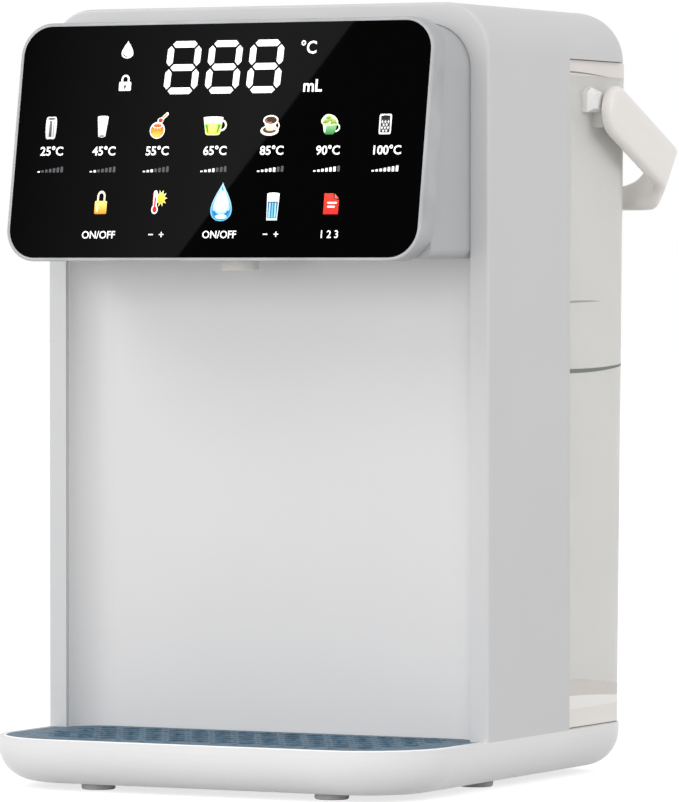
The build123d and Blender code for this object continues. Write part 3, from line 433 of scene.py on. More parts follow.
def coffee_sign(ink):
    """Coffee cup on its saucer."""
    ink.fill(ellipse(-0.3, -2.2, 4.7, 2.3), "#F3E7DC")
    ink.fill(ellipse(-0.3, -1.9, 3.5, 1.5), "#5E3A2A", "#3A241C")
    ink.fill(band(3.0, -0.2, 1.7, 1.9, 0.6, -120, 100, 14), "#F3E7DC")
    ink.fill([(-3.4, 2.0), (-2.2, -1.8), (-1.2, -2.4), (1.2, -2.4), (2.2, -1.8), (3.4, 2.0)],
             "#D9BFA8", "#FBF3EA")
    ink.fill(ellipse(0, 2.3, 3.9, 2.2), "#FFF9F2")
    ink.fill(ellipse(0, 2.3, 3.1, 1.6), "#2A1510", "#4A2A1E")
    ink.fill(band(-0.3, 2.2, 2.2, 1.05, 0.35, 150, 300, 12), "#C78F6A")


def leaf(ink, x, z, length, turn, low, high):
    """Pointed leaf that starts at a spot and lies along a turn."""
    points = [(0, 0), (0.35, 0.22), (0.75, 0.2), (1.0, 0.0), (0.75, -0.2), (0.35, -0.22)]
    c, s = math.cos(math.radians(turn)), math.sin(math.radians(turn))
    ink.fill(curve_through([(x + length * (a * c - b * s), z + length * (a * s + b * c))
                            for a, b in points], 4), low, high)


def leaf_tea_sign(ink):
    """Green cup heaped with leaves."""
    ink.fill(band(2.6, -1.2, 2.3, 2.0, 0.7, -100, 90, 14), "#EAF4E6")
    ink.fill([(-3.6, 0.4), (-2.9, -3.2), (-1.9, -4.2), (1.6, -4.2), (2.8, -3.0), (3.4, 0.4)],
             "#1E7A34", "#8CC98A")
    ink.fill([(-3.4, 0.2), (-2.9, -2.8), (-2.2, -3.6), (-1.7, 0.2)], "#E9F6E8")
    ink.fill(curve_through([(-4.4, 2.2), (-2.0, 4.5), (1.8, 3.8), (3.8, 1.0), (1.0, -0.4),
                            (-3.4, 0.0)]), "#D4E6A0", "#F8FBEA")
    for x, z, length, turn in ((-3.6, 0.8, 4.0, 24), (-1.0, 2.6, 3.4, -18), (0.2, 0.4, 3.2, 32),
                               (-2.4, 3.0, 3.0, 8), (1.0, 2.2, 2.8, -40)):
        leaf(ink, x, z, length, turn, "#4E8A2A", "#B5CF62")


def cut_glass_sign(ink):
    """Tumbler of cut glass: diamonds in staggered rows."""
    ink.fill(box_outline(-3.4, 3.4, -4.4, 4.4, 0.9), "#D9DBDD", WHITE)
    ink.fill(box_outline(-2.6, 2.6, -3.6, 3.7, 0.6), "#2B2C2E", "#3C3E40")
    ink.fill(ellipse(0, 2.9, 2.3, 1.0), "#0E0F10")
    half, tall, step_x, step_z = 0.6, 0.75, 1.7, 1.3
    for row in range(4):
        z = 1.0 - row * step_z
        for column in range(3 - row % 2):
            x = (column - (2 - row % 2) / 2) * step_x
            ink.fill([(x - half, z), (x, z - tall), (x + half, z), (x, z + tall)],
                     "#C9CBCD", "#F4F4F4")


def thermometer_sign(ink):
    """Thermometer before a sun."""
    sun_x, sun_z, ray_foot, ray_tip, ray_half, rays = 1.4, 1.6, 2.0, 3.7, 0.55, 10
    for ray in range(rays):
        turn = math.radians(ray * 360 / rays)
        c, s = math.cos(turn), math.sin(turn)
        ink.fill([(sun_x + ray_foot * c - ray_half * s, sun_z + ray_foot * s + ray_half * c),
                  (sun_x + ray_tip * c, sun_z + ray_tip * s),
                  (sun_x + ray_foot * c + ray_half * s, sun_z + ray_foot * s - ray_half * c)],
                 "#FFF3B0")
    ink.fill(ellipse(sun_x, sun_z, 2.4, 2.4), "#F6B81E", "#FFE36B")
    stem_x = -1.9
    ink.fill(stroke((stem_x, 3.8), (stem_x, -2.6), 2.3), WHITE)
    ink.fill(ellipse(stem_x, -3.1, 1.9, 1.9), WHITE)
    ink.fill(ellipse(stem_x, -3.1, 1.3, 1.3), "#B0101C", "#E03038")
    ink.fill(stroke((stem_x, 1.6), (stem_x, -2.6), 0.9), "#C4141F")
    for mark in range(4):
        ink.fill(box_outline(-3.6, -2.9, -0.6 + mark * 1.2, -0.3 + mark * 1.2), "#B0101C")


def big_drop_sign(ink):
    """Large blue drop, lit from inside."""
    for low, width, height, foot, tip in (
            (-8.1, 11.0, 16.2, "#5DB8E6", "#BFE4F2"), (-7.65, 10.0, 14.9, "#1277B8", "#8FC9DC"),
            (-6.1, 8.6, 12.6, "#7CC4E4", "#E8F2F5"), (-4.5, 7.0, 10.4, "#CFE9F3", "#F3F7F8")):
        ink.fill(drop_outline(low, width, height), foot, tip)
    ink.fill(band(0, -2.7, 4.6, 3.7, 1.0, 200, 340, 18), "#0F6FB4")
    ink.fill(ellipse(0.2, -6.2, 3.0, 1.0), "#F4FBFE", "#BCE6F6")
    ink.fill([(-0.5, 6.9), (-0.2, 4.5), (0.8, 4.7)], "#2C88A8")


def water_glass_sign(ink):
    """Measuring glass, part full."""
    low, high, level = -5.5, 5.5, 2.3
    ink.fill([(-3.5, high), (-3.0, low), (3.0, low), (3.5, high)], "#C8D4DA", "#F6F8F9")
    ink.fill([(-2.9, level), (-2.5, low + 0.9), (2.5, low + 0.9), (2.9, level)],
             "#2E7FA8", "#1C4E6C")
    for x, code in ((-1.6, "#9FD2E8"), (0.0, "#6FB9DA"), (1.6, "#9FD2E8")):
        ink.fill(box_outline(x - 0.45, x + 0.45, low + 1.2, level - 0.4, 0.2), code)
    ink.fill(ellipse(0, high, 3.5, 0.55), WHITE)
    ink.fill(ellipse(0, low + 0.4, 2.3, 0.4), "#E4EEF2")


def card_sign(ink):
    """Red settings card with a folded corner."""
    ink.fill([(-3.6, -4.3), (3.6, -4.3), (3.6, 1.6), (1.0, 2.0), (0.8, 4.3), (-3.6, 4.3)],
             "#D8231B", "#EE3E2C")
    ink.fill([(1.4, 4.2), (3.5, 2.2), (1.4, 2.2)], "#F26A55")
    for z, stop in ((0.4, 2.3), (-1.2, 1.5)):
        ink.fill(stroke((-1.5, z), (stop, z), 0.75), WHITE)


def level_marks(ink, lit, count=7):
    """Heat level: a row of small bars, each taller than the last, the first ones bright."""
    step, wide, taller = 1.75, 1.15, 0.28
    for index in range(count):
        left = (index - (count - 1) / 2) * step - wide / 2
        ink.fill(box_outline(left, left + wide, -0.8, -0.2 + taller * index, 0.25),
                 "#E9ECEE" if index < lit else "#4A4C4F")


CAPITAL_SHARE = 0.72  # height of the letters' capitals as a share of the letters' size


def add_text(lettering, words, x, z, height, bold, squeeze=1.0):
    """Plain figures and units in Blender's own letters, centred on a spot of the glass."""
    curve = bpy.data.curves.new("figures", "FONT")
    curve.body = words
    curve.align_x, curve.align_y = "CENTER", "CENTER"
    curve.size = height * MM / CAPITAL_SHARE
    curve.offset = bold * MM
    curve.resolution_u = 3
    mesh = baked(show(bpy.data.objects.new("figures", curve)))
    middle = spot(x, glass_y(z), z)
    for vertex in mesh.vertices:
        across, up = vertex.co.x * squeeze, vertex.co.y
        vertex.co = middle + Vector((across, up * math.tan(PANEL_LEAN) - FIRST_LAYER * MM, up))
    lettering.append(mesh)


ink = Ink()
lettering = []

# Top of the panel: three figures with their units, and a small drop and padlock beside them
FIGURES_X, FIGURES_Z = (-18.1, 0.35, 18.7), 285.7
for figure_x in FIGURES_X:
    ink.start_sign(figure_x, FIGURES_Z)
    seven_bar_figure(ink)
ink.start_sign(-43.5, 293.2, 0.88, 0.87)
ink.fill(drop_outline(-4.0, 6.0, 8.0), WHITE)
ink.fill(band(-0.2, -1.4, 2.1, 2.0, 0.45, 195, 275, 10), "#1B1C1E")
ink.start_sign(-43.4, 280.0, 0.82, 0.78)
padlock(ink, 6.6, 8.2, WHITE, WHITE, WHITE)
keyhole(ink, -1.7, 0.62, "#16171A")

# First row: how a sign is drawn, its figure, its x, its width and the figure's x. The figures
# and the level marks below them each lie a little lower than the ones to their left.
SIGNS_Z, SIGNS_TALL = 262.4, 0.9
DEGREES_Z, DEGREES_FALL = 252.9, 0.12
LEVELS_Z, LEVELS_FALL = 245.4, 0.1
first_row = [(tumbler_sign, "25", -75.5, 0.76, -74.3), (milk_sign, "45", -52.1, 0.85, -50.5),
             (honey_sign, "55", -26.7, 0.82, -26.5), (tea_cup_sign, "65", -1.7, 0.92, -0.7),
             (coffee_sign, "85", 23.1, 0.86, 24.5), (leaf_tea_sign, "90", 49.3, 0.9, 49.2),
             (cut_glass_sign, "100", 73.3, 0.78, 74.6)]
for index, (draw, degrees, sign_x, wide, figure_x) in enumerate(first_row):
    ink.start_sign(sign_x, SIGNS_Z, wide, SIGNS_TALL)
    draw(ink)
    ink.start_sign(figure_x, LEVELS_Z - LEVELS_FALL * index)
    level_marks(ink, index + 1)
    add_text(lettering, degrees + "°C", figure_x, DEGREES_Z - DEGREES_FALL * index, 3.5,
             0.10, 1.03)

# Second row: how a sign is drawn, what stands below it, its x, its rise and its width
KEYS_Z, KEYS_TALL, WORDS_Z = 232.6, 0.94, 219.6
second_row = [(gold_padlock_sign, "ON/OFF", -50.0, 0.0, 0.78),
              (thermometer_sign, "−  +", -24.1, 0.0, 0.76),
              (big_drop_sign, "ON/OFF", 4.1, 0.0, 0.86),
              (water_glass_sign, "−  +", 26.8, -2.2, 0.78),
              (card_sign, "1 2 3", 52.4, -1.0, 0.9)]
for draw, words, sign_x, rise, wide in second_row:
    ink.start_sign(sign_x, KEYS_Z + rise, wide, KEYS_TALL)
    draw(ink)
    add_text(lettering, words, sign_x, WORDS_Z, 3.0, 0.05)
add_text(lettering, "°C", 37.3, 292.6, 5.0, 0.12, 0.95)
add_text(lettering, "mL", 40.2, 277.6, 4.9, 0.14, 0.98)
for letters in lettering:
    first = len(ink.points)
    ink.points += [vertex.co.copy() for vertex in letters.vertices]
    ink.faces += [[first + corner for corner in face.vertices] for face in letters.polygons]
    ink.colours += [linear(WHITE)] * len(letters.vertices)

# Back-lit ceramic ink: each colour is as bright as its own light makes it
panel_print, tree = new_material("back_lit_ceramic_ink")
tint = add(tree, "ShaderNodeAttribute", {"attribute_name": "print"}).outputs["Color"]
_, flow = mould_grain(tree, 0.4, 0.002)
shader = add(tree, "ShaderNodeBsdfPrincipled",
             {"Base Color": tint, "Emission Color": tint, "Emission Strength": INK_GLOW,
              "Roughness": 0.35, "Specular IOR Level": 0.2, "Normal": flow})
add(tree, "ShaderNodeOutputMaterial", {"Surface": shader.outputs["BSDF"]})

print_mesh = new_mesh("panel_graphics", ink.points, ink.faces)
print_layer = print_mesh.color_attributes.new("print", "FLOAT_COLOR", "POINT")
for index, colour in enumerate(ink.colours):
    print_layer.data[index].color = colour
panel_graphics = show_mesh("panel_graphics", print_mesh, panel_print)
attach(panel_graphics, "machine")


# Tank. Its outline follows the part's own sizes, in millimetres.

TANK_FRONT = 76.3
TANK_FOOT_HALF, TANK_TOP_HALF = 95.5, 96.5
TANK_FOOT_REAR, TANK_TOP_REAR = 142.0, 146.0
TANK_FOOT_Z, TANK_TOP_Z = 20.5, 285.0
TANK_REAR_R = 16.5
FILM = 0.06  # how far a skin stands off the wall


def tank_point(along, z, proud):
    """Point on the tank's right side and rear; along is the way in mm from its front edge."""
    share = (z - TANK_FOOT_Z) / (TANK_TOP_Z - TANK_FOOT_Z)
    half = TANK_FOOT_HALF + (TANK_TOP_HALF - TANK_FOOT_HALF) * share
    rear = TANK_FOOT_REAR + (TANK_TOP_REAR - TANK_FOOT_REAR) * share
    side = rear - TANK_REAR_R - TANK_FRONT
    arc = TANK_REAR_R * math.pi / 2
    if along < side:
        return half + proud, TANK_FRONT + along
    if along < side + arc:
        turn = (along - side) / TANK_REAR_R
        return (half - TANK_REAR_R + (TANK_REAR_R + proud) * math.cos(turn),
                rear - TANK_REAR_R + (TANK_REAR_R + proud) * math.sin(turn))
    return half - TANK_REAR_R - (along - side - arc), rear + proud


def tank_band(name, start, stop, low, high, material, steps=60, proud=FILM):
    """Thin skin on both sides of the tank; low and high give its edges along the way."""
    points, faces = [], []
    for side in (1, -1):
        first = len(points)
        for step in range(steps + 1):
            along = start + (stop - start) * step / steps
            for z in (low(along), high(along)):
                x, y = tank_point(along, z, proud)
                points.append(spot(side * x, y, z))
        for step in range(steps):
            a = first + 2 * step
            quad = (a, a + 2, a + 3, a + 1)
            faces.append(quad if side > 0 else quad[::-1])
    made = show_mesh(name, new_mesh(name, points, faces), material, smooth=True)
    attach(made, "tank")


def edge(z, change=0.0, reach=1.0, bend=1.0):
    """Edge of a skin: its height at the front, and how far it rises or falls over its reach."""
    return lambda along: z + change * min(along / reach, 1.0) ** bend


# Screen-printed fill mark: it thins out towards the rear corner and lifts a little there
MARK_START, MARK_END = 0.6, 70.0
MARK_Z, MARK_HEIGHT, MARK_LIFT, MARK_THINNING = 165.0, 1.7, 3.8, 0.75
mark_ink = finish("fill_mark_grey_ink", "#70756F", 0.5, (0.4, 0.004), 0.08, 12.0)
mark_middle = edge(MARK_Z, MARK_LIFT, MARK_END, 3)
mark_half = edge(MARK_HEIGHT / 2, -MARK_HEIGHT / 2 * MARK_THINNING, MARK_END, 2)
tank_band("fill_mark", MARK_START, MARK_END, lambda a: mark_middle(a) - mark_half(a),
          lambda a: mark_middle(a) + mark_half(a), mark_ink)

# Witness line of the mould's split, seen part of the way round, where it thins out
WITNESS_START, WITNESS_END = 0.6, 36.0
WITNESS_Z, WITNESS_RISE, WITNESS_HEIGHT, WITNESS_LEAST = 192.4, 0.02, 0.9, 0.05
witness = finish("mould_split_line", "#B4B4B1", 0.5, (0.4, 0.004), 0.05, 12.0,
                 IOR=1.54, Transmission_Weight=0.4)
witness_low = edge(WITNESS_Z, WITNESS_RISE * WITNESS_END, WITNESS_END)
witness_thick = edge(WITNESS_HEIGHT + WITNESS_LEAST, -WITNESS_HEIGHT, WITNESS_END, 2)
tank_band("mould_line", WITNESS_START, WITNESS_END, witness_low,
          lambda a: witness_low(a) + witness_thick(a), witness)

# Foot of the tank: the thick raised floor shows through the wall as milky bands, which fall or
# rise up to the rear corner and run level across the rear to its middle
FOOT_START, FOOT_END, FOOT_MIDDLE = 0.6, 84.0, 154.2
FOOT_Z = 20.9
foot_top = edge(40.5, -8.6, FOOT_END, 1.5)
foot_step = edge(33.8, -4.6, FOOT_END, 1.6)
foot_seat = edge(28.2, 0.8, FOOT_END, 2)
for name, low, high, paint, code in (
        ("tank_foot_upper", foot_step, foot_top, "raised_floor_warm_grey", "#D6D0CB"),
        ("tank_foot_middle", foot_seat, foot_step, "raised_floor_milky", "#F8F5F2"),
        ("tank_foot_lower", edge(FOOT_Z), foot_seat, "raised_floor_shaded", "#EEEAE5")):
    tank_band(name, FOOT_START, FOOT_MIDDLE, low, high,
              finish(paint, code, 0.4, (1.2, 0.004), 0.03, 30.0), steps=90)

# The front wall seen on its edge, with a painted highlight where light gathers, and the lid's
# skirt under the hood: a milky skin lightened as painted light over the hood's shade, with
# painted shade in its seam
WALL_START, WALL_END, WALL_TOP_GAP = 0.4, 4.4, 0.4
bright_edge = finish("light_gathering_edge", "#FFFFFF", 0.4, (2.0, 0.004), 0.02, 60.0)
tank_band("front_wall_edge", WALL_START, WALL_END, foot_top, edge(TANK_TOP_Z - WALL_TOP_GAP),
          bright_edge, steps=8)
LID_START, LID_MIDDLE, LID_LOW, LID_HIGH = 0.4, 159.1, 284.4, 290.55
SEAM_END = 42.0
painted_light_lid_skirt = finish("lid_skirt_milky_painted_light", "#EDE6E2", 0.34, (0.6, 0.006), 0.03, 40.0)
tank_band("lid_skirt", LID_START, LID_MIDDLE, edge(LID_LOW), edge(LID_HIGH), painted_light_lid_skirt,
          steps=90)
lid_shade = finish("lid_seam_shade", "#8F8886", 0.5, (0.6, 0.006), 0.05, 20.0)
tank_band("lid_seam", LID_START, SEAM_END, edge(LID_LOW + 0.9, -1.1, SEAM_END, 2),
          edge(LID_LOW + 1.6, -1.7, SEAM_END, 2), lid_shade, proud=2 * FILM)

# Bosses that carry the handle's pins: faceted blocks moulded on the tank's sides
PIVOT_Y, PIVOT_Z = 109.0, 270.2
BOSS_IN, BOSS_OUT, BOSS_FACET = 95.9, 100.9, 2.2
BOSS_OUTLINE = [(-16.5, -0.5), (-16.5, 7.2), (-12.5, 9.6), (-3.9, 8.2), (-3.9, -0.5)]
boss_plastic = finish("polished_clear_boss", "#F7F6F5", 0.12, (2.0, 0.004), 0.03, 8.0,
                      IOR=1.54, Coat_Weight=0.5)


def handle_boss(side):
    """Rings of a block whose outer face is smaller than its foot, so its edges are facets."""
    middle_y = sum(y for y, _ in BOSS_OUTLINE) / len(BOSS_OUTLINE)
    middle_z = sum(z for _, z in BOSS_OUTLINE) / len(BOSS_OUTLINE)
    rings = []
    for x, pull in ((BOSS_IN, 0.0), (BOSS_OUT - BOSS_FACET, 0.0), (BOSS_OUT, BOSS_FACET)):
        ring = []
        for y, z in BOSS_OUTLINE:
            reach = math.hypot(y - middle_y, z - middle_z)
            keep = (reach - pull) / reach
            ring.append(spot(side * x, PIVOT_Y + middle_y + (y - middle_y) * keep,
                             PIVOT_Z + middle_z + (z - middle_z) * keep))
        rings.append(ring)
    return rings


bosses = show_mesh("handle_bosses", closed_mesh("handle_bosses", map(handle_boss, (1, -1))),
                   boss_plastic)
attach(bosses, "tank")


# Drip grille: a raised rim round every hole, and non-slip pips between the holes

GRILLE_TOP = 20.5
HOLE_R, HOLE_STEP_X, HOLE_STEP_Y = 3.4, 10.4, 9.6
BASIN_HALF, BASIN_FRONT, BASIN_REAR = 88.0, -59.5, 8.0
BASIN_FRONT_R, HOLE_MARGIN, PIP_MARGIN = 30.0, 5.0, 3.5
RIM_OFFSET, RIM_BEAD_R = 0.3, 0.25
PIP_SIZE = (2.4 * MM, 1.2 * MM, 0.7 * MM)


def on_grille(x, y, margin=HOLE_MARGIN):
    """Whether a point lies inside the grille's solid border."""
    side, front = BASIN_HALF - margin - abs(x), y - BASIN_FRONT - margin
    r = BASIN_FRONT_R - margin
    if min(side, front, BASIN_REAR - y) < 0:
        return False
    return side > r or front > r or (r - side) ** 2 + (r - front) ** 2 < r ** 2


def hole_spots():
    middle = (BASIN_FRONT + BASIN_REAR) / 2
    columns = int(BASIN_HALF / HOLE_STEP_X)
    rows = int((BASIN_REAR - BASIN_FRONT) / HOLE_STEP_Y)
    for row in range(rows):
        y = middle + (row - (rows - 1) / 2) * HOLE_STEP_Y
        for column in range(-columns, columns + 1):
            yield column * HOLE_STEP_X + HOLE_STEP_X / 2 * (row % 2), y


def is_hole(x, y):
    turns = [math.radians(60 * i) for i in range(6)]
    return all(on_grille(x + HOLE_R * math.cos(a), y + HOLE_R * math.sin(a)) for a in turns)


def new_tree(name, inputs):
    """Geometry tree with named inputs; returns it, its input node and its output node."""
    tree = bpy.data.node_groups.new(name, "GeometryNodeTree")
    tree.interface.new_socket("Geometry", in_out="INPUT", socket_type="NodeSocketGeometry")
    for label, kind in inputs:
        tree.interface.new_socket(label, in_out="INPUT", socket_type=kind)
    tree.interface.new_socket("Geometry", in_out="OUTPUT", socket_type="NodeSocketGeometry")
    return tree, tree.nodes.new("NodeGroupInput"), tree.nodes.new("NodeGroupOutput")


def finish_tree(tree, given, out, instances):
    """Turns the instances into one mesh with the given finish."""
    real = add(tree, "GeometryNodeRealizeInstances", {"Geometry": instances})
    coated = add(tree, "GeometryNodeSetMaterial", {"Geometry": real.outputs["Geometry"],
                                                   "Material": given.outputs["Finish"]})
    tree.links.new(coated.outputs["Geometry"], out.inputs["Geometry"])
    return tree


def rim_tree():
    """Six-sided bead of a given radius and thickness on every point."""
    tree, given, out = new_tree("hole_rims", [("Rim Radius", "NodeSocketFloat"),
                                              ("Bead Radius", "NodeSocketFloat"),
                                              ("Finish", "NodeSocketMaterial")])
    ring = add(tree, "GeometryNodeCurvePrimitiveCircle",
               {"mode": "RADIUS", "Resolution": 6, "Radius": given.outputs["Rim Radius"]})
    bead = add(tree, "GeometryNodeCurvePrimitiveCircle",
               {"mode": "RADIUS", "Resolution": 5, "Radius": given.outputs["Bead Radius"]})
    rim = add(tree, "GeometryNodeCurveToMesh", {"Curve": ring.outputs["Curve"],
                                                "Profile Curve": bead.outputs["Curve"]})
    placed = add(tree, "GeometryNodeInstanceOnPoints", {"Points": given.outputs["Geometry"],
                                                        "Instance": rim.outputs["Mesh"]})
    return finish_tree(tree, given, out, placed.outputs["Instances"])


def pip_tree():
    """Low oval pip of a given length, width and height on every point."""
    tree, given, out = new_tree("grip_pips", [("Pip Size", "NodeSocketVector"),
                                              ("Finish", "NodeSocketMaterial")])
    ball = add(tree, "GeometryNodeMeshUVSphere", {"Segments": 10, "Rings": 6, "Radius": 0.5})
    oval = add(tree, "GeometryNodeTransform", {"Geometry": ball.outputs["Mesh"],
                                               "Scale": given.outputs["Pip Size"]})
    placed = add(tree, "GeometryNodeInstanceOnPoints", {"Points": given.outputs["Geometry"],
                                                        "Instance": oval.outputs["Geometry"]})
    return finish_tree(tree, given, out, placed.outputs["Instances"])


def grow(name, spots, tree, settings, body):
    """Runs a tree on a set of points and keeps the result as one plain mesh."""
    seeds = new_mesh(name + "_spots", [spot(*place) for place in spots])
    holder = show(bpy.data.objects.new(name + "_spots", seeds))
    modifier = holder.modifiers.new(name, "NODES")
    modifier.node_group = tree
    for item in tree.interface.items_tree:
        if item.item_type == "SOCKET" and item.in_out == "INPUT" and item.name in settings:
            modifier[item.identifier] = settings[item.name]
    holder.update_tag()
    made = show(bpy.data.objects.new(name, baked(holder)))
    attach(made, body)


holes = [(x, y) for x, y in hole_spots() if is_hole(x, y)]
pips = [(x + HOLE_STEP_X / 2, y) for x, y in hole_spots()
        if on_grille(abs(x + HOLE_STEP_X / 2) + PIP_MARGIN, y, PIP_MARGIN)]
grow("grille_hole_rims", [(x, y, GRILLE_TOP) for x, y in holes], rim_tree(),
     {"Rim Radius": (HOLE_R + RIM_OFFSET) * MM, "Bead Radius": RIM_BEAD_R * MM,
      "Finish": finishes["grille_blue"]}, "grille")
grow("grille_grip_pips", [(x, y, GRILLE_TOP) for x, y in pips], pip_tree(),
     {"Pip Size": PIP_SIZE, "Finish": finishes["grille_blue"]},
     "grille")


# Bright bead along the base's lip round the tray: the lip's rounded edge, whiter than the base
# as a painted highlight

BODY_HALF, BASE_FRONT, BASE_FRONT_R = 99.0, -69.0, 38.0
LIP_Z, LIP_R, LIP_INSET = 20.5, 0.4, 2.8


def lip_path(steps=14):
    """The lip's way round the front, from the body's one side to the other, in millimetres."""
    half, front, r = BODY_HALF - LIP_INSET, BASE_FRONT + LIP_INSET, BASE_FRONT_R - LIP_INSET
    yield half, -LIP_R
    for side, start in ((1, 0), (-1, -90)):
        for step in range(steps + 1):
            turn = math.radians(start - 90 * step / steps)
            yield side * (half - r) + r * math.cos(turn), front + r + r * math.sin(turn)
    yield -half, -LIP_R


def bead_rings(path, z, radius, sides=8):
    """Rings of a tube along a level path."""
    middle = [spot(x, y, z) for x, y in path]
    up = Vector((0, 0, 1))
    turns = [2 * math.pi * k / sides for k in range(sides)]
    for i, point in enumerate(middle):
        way = (middle[min(i + 1, len(middle) - 1)] - middle[max(i - 1, 0)]).normalized()
        out = way.cross(up)
        yield [point + radius * MM * (math.cos(a) * out + math.sin(a) * up) for a in turns]


lip_painted_highlight = finish("gloss_abs_lip_bead_painted_highlight", "#FDFDFD", 0.18, (0.8, 0.002), 0.01)
lip_mesh = closed_mesh("base_lip_bead", [bead_rings(lip_path(), LIP_Z, LIP_R)])
lip_bead = show_mesh("base_lip_bead", lip_mesh, lip_painted_highlight, smooth=True)
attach(lip_bead, "machine")


# Handle with its edges rounded off. The window in its rear plate, in millimetres along x and
# across the arms, leaves a bar to hold, and the hand goes through above it
HANDLE_DROOP = math.radians(23.4)
HANDLE_REACH = 68.0
WINDOW_HALF, WINDOW_TOP_HALF, WINDOW_R = 91.0, 101.2, 9.0
WINDOW_LOW, WINDOW_HIGH, WINDOW_DEPTH = -6.6, 12.0, 30.0
WELD = 0.001 * MM
ARM_WAY = Vector((0, math.cos(HANDLE_DROOP), -math.sin(HANDLE_DROOP)))
ACROSS_WAY = Vector((0, math.sin(HANDLE_DROOP), math.cos(HANDLE_DROOP)))


def window_cutter(steps=8):
    """Prism along the arms that cuts the window; its two lower corners are round."""
    outline = [(WINDOW_TOP_HALF, WINDOW_HIGH), (-WINDOW_TOP_HALF, WINDOW_HIGH)]
    for side, start in ((-1, 180), (1, 270)):
        for step in range(steps + 1):
            turn = math.radians(start + 90 * step / steps)
            outline.append((side * (WINDOW_HALF - WINDOW_R) + WINDOW_R * math.cos(turn),
                            WINDOW_LOW + WINDOW_R + WINDOW_R * math.sin(turn)))
    rings = [[spot(x, PIVOT_Y, PIVOT_Z) + way * MM * ARM_WAY + across * MM * ACROSS_WAY
              for x, across in outline]
             for way in (HANDLE_REACH - WINDOW_DEPTH, HANDLE_REACH + WINDOW_DEPTH)]
    return show(bpy.data.objects.new("handle_window", closed_mesh("handle_window", [rings])))


def softened(name, node, body, voxel_mm, passes, cutter):
    """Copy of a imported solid, cut and with its edges rounded off as by soft mould radii."""
    mesh = frame["nodes"][node].data.copy()
    mesh.transform(frame["nodes"][node].matrix_world)
    shape = bmesh.new()
    shape.from_mesh(mesh)
    bmesh.ops.remove_doubles(shape, verts=shape.verts, dist=WELD)
    shape.to_mesh(mesh)
    work = show(bpy.data.objects.new(name + "_work", mesh))
    cut = work.modifiers.new("window", "BOOLEAN")
    cut.object, cut.operation, cut.solver = cutter, "DIFFERENCE", "EXACT"
    even = work.modifiers.new("even_mesh", "REMESH")
    even.mode, even.voxel_size, even.use_smooth_shade = "VOXEL", voxel_mm * MM, True
    soft = work.modifiers.new("soft_edges", "SMOOTH")
    soft.factor, soft.iterations = 0.5, passes
    made = show(bpy.data.objects.new(name, baked(work)))
    bpy.data.objects.remove(cutter)
    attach(made, body)
    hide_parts(node)


softened("handle_soft", "handle", "handle", voxel_mm=0.9, passes=26,
         cutter=window_cutter())


# Studio: pale floor, even light from the room, four soft lamps, a card for the sheen, the camera

FLOOR_REACH, FLOOR_SEEN = 12.0, 0.72
ROOM_LIGHT, ROOM_SEEN = 0.6, 1.0


def white_backdrop(tree, light, glow):
    """Strength: glow for the camera, a reflection or clear plastic, and light for all else."""
    rays = add(tree, "ShaderNodeLightPath", {})
    seen = rays.outputs["Is Camera Ray"]
    for kind in ("Is Glossy Ray", "Is Transmission Ray"):
        seen = add(tree, "ShaderNodeMath", {"operation": "MAXIMUM", 0: seen,
                                            1: rays.outputs[kind]}).outputs[0]
    return add(tree, "ShaderNodeMapRange", {"Value": seen, "To Min": light,
                                            "To Max": glow}).outputs["Result"]


floor_paint, tree = new_material("studio_floor_matt_white")
plain = add(tree, "ShaderNodeBsdfDiffuse", {"Color": linear("#C8C8C8")})
glow = add(tree, "ShaderNodeEmission", {"Color": linear(WHITE),
                                        "Strength": white_backdrop(tree, 0.0, FLOOR_SEEN)})
lit = add(tree, "ShaderNodeAddShader", {0: plain.outputs["BSDF"], 1: glow.outputs["Emission"]})
add(tree, "ShaderNodeOutputMaterial", {"Surface": lit.outputs["Shader"]})
floor_corners = [(x * FLOOR_REACH, y * FLOOR_REACH, 0)
                 for x, y in ((-1, -1), (1, -1), (1, 1), (-1, 1))]
floor = show_mesh("floor", new_mesh("floor", floor_corners, [(0, 1, 2, 3)]), floor_paint)

LAMP_AIM = Vector((0, 0, 0.15))


def lamp(name, place, size, watts, mirrored=True):
    """Soft rectangular lamp; one that is not mirrored leaves no reflection."""
    data = bpy.data.lights.new(name, "AREA")
    data.shape = "RECTANGLE"
    data.size, data.size_y = size
    data.energy = watts
    made = show(bpy.data.objects.new(name, data))
    made.location = place
    made.rotation_euler = (LAMP_AIM - Vector(place)).to_track_quat("-Z", "Y").to_euler()
    made.visible_glossy = mirrored


lamp("window_left", (-0.9, -1.3, 1.4), (1.0, 1.0), 8)
lamp("front_low", (0.0, -1.9, 0.4), (1.2, 0.8), 13, mirrored=False)
lamp("fill_right", (1.8, 0.2, 0.9), (1.2, 1.2), 10.5)
lamp("softbox_top", (0.1, 0.1, 1.8), (1.2, 1.2), 1)

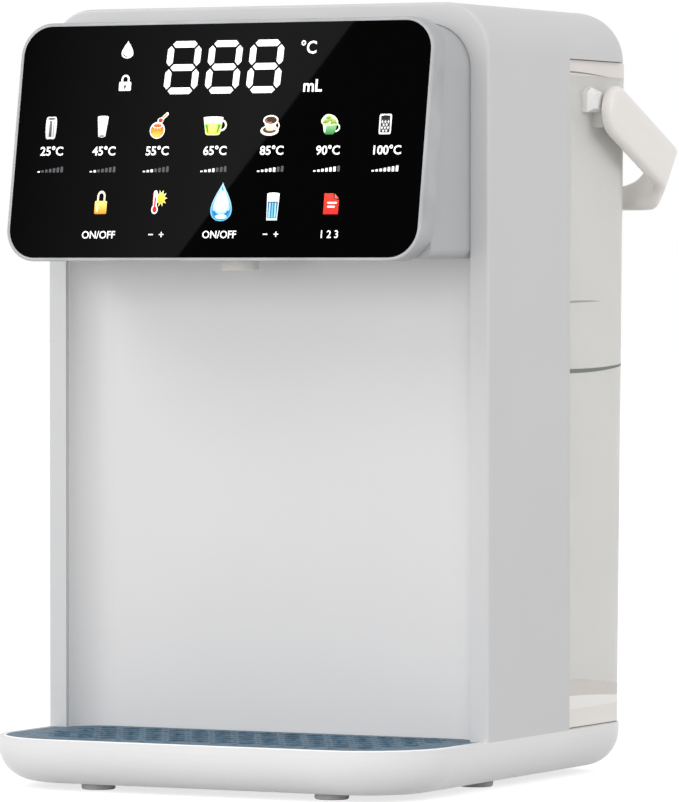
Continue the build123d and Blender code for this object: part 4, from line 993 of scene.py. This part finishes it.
# White card that only the panel's glass and other gloss reflect: its edge makes the sheen
CARD_GLOW = 7.5
CARD_DIM, CARD_DIM_X, CARD_BRIGHT_X = 0.2, -1.15, -0.96
CARD_CORNERS = [(-1500, -1750, 600), (-1122, -1750, 600), (-777, -1750, 1150),
                (-1500, -1750, 1150)]
card_paint, tree = new_material("sheen_card_white")
place = add(tree, "ShaderNodeTexCoord", {})
across = add(tree, "ShaderNodeSeparateXYZ", {"Vector": place.outputs["Object"]})
level = add(tree, "ShaderNodeMapRange", {"Value": across.outputs["X"],
                                         "From Min": CARD_DIM_X, "From Max": CARD_BRIGHT_X,
                                         "To Min": CARD_DIM * CARD_GLOW, "To Max": CARD_GLOW})
glow = add(tree, "ShaderNodeEmission", {"Color": linear(WHITE),
                                        "Strength": level.outputs["Result"]})
add(tree, "ShaderNodeOutputMaterial", {"Surface": glow.outputs["Emission"]})
card_mesh = new_mesh("sheen_card", [spot(*corner) for corner in CARD_CORNERS], [(0, 1, 2, 3)])
card = show_mesh("sheen_card", card_mesh, card_paint)
for ray in ("camera", "diffuse", "transmission", "volume_scatter", "shadow"):
    setattr(card, "visible_" + ray, False)

world = bpy.data.worlds.new("studio")
bpy.context.scene.world = world
world.use_nodes = True
world.node_tree.nodes.clear()
room_strength = white_backdrop(world.node_tree, ROOM_LIGHT, ROOM_SEEN)
room = add(world.node_tree, "ShaderNodeBackground",
           {"Color": linear(WHITE), "Strength": room_strength})
add(world.node_tree, "ShaderNodeOutputWorld", {"Surface": room.outputs["Background"]})

CAMERA_SPOT = (1161, -2213, 207.7)
CAMERA_DIP, CAMERA_TURN = math.radians(1.24), math.radians(27)
camera_data = bpy.data.cameras.new("camera")
camera_data.lens = 281.4
camera_data.sensor_width = 36.0
camera_data.clip_end = 50.0
camera = show(bpy.data.objects.new("camera", camera_data))
camera.location = spot(*CAMERA_SPOT)
camera.rotation_euler = (math.pi / 2 - CAMERA_DIP, 0, CAMERA_TURN)
bpy.context.scene.camera = camera
bpy.context.scene.view_settings.view_transform = "Standard"
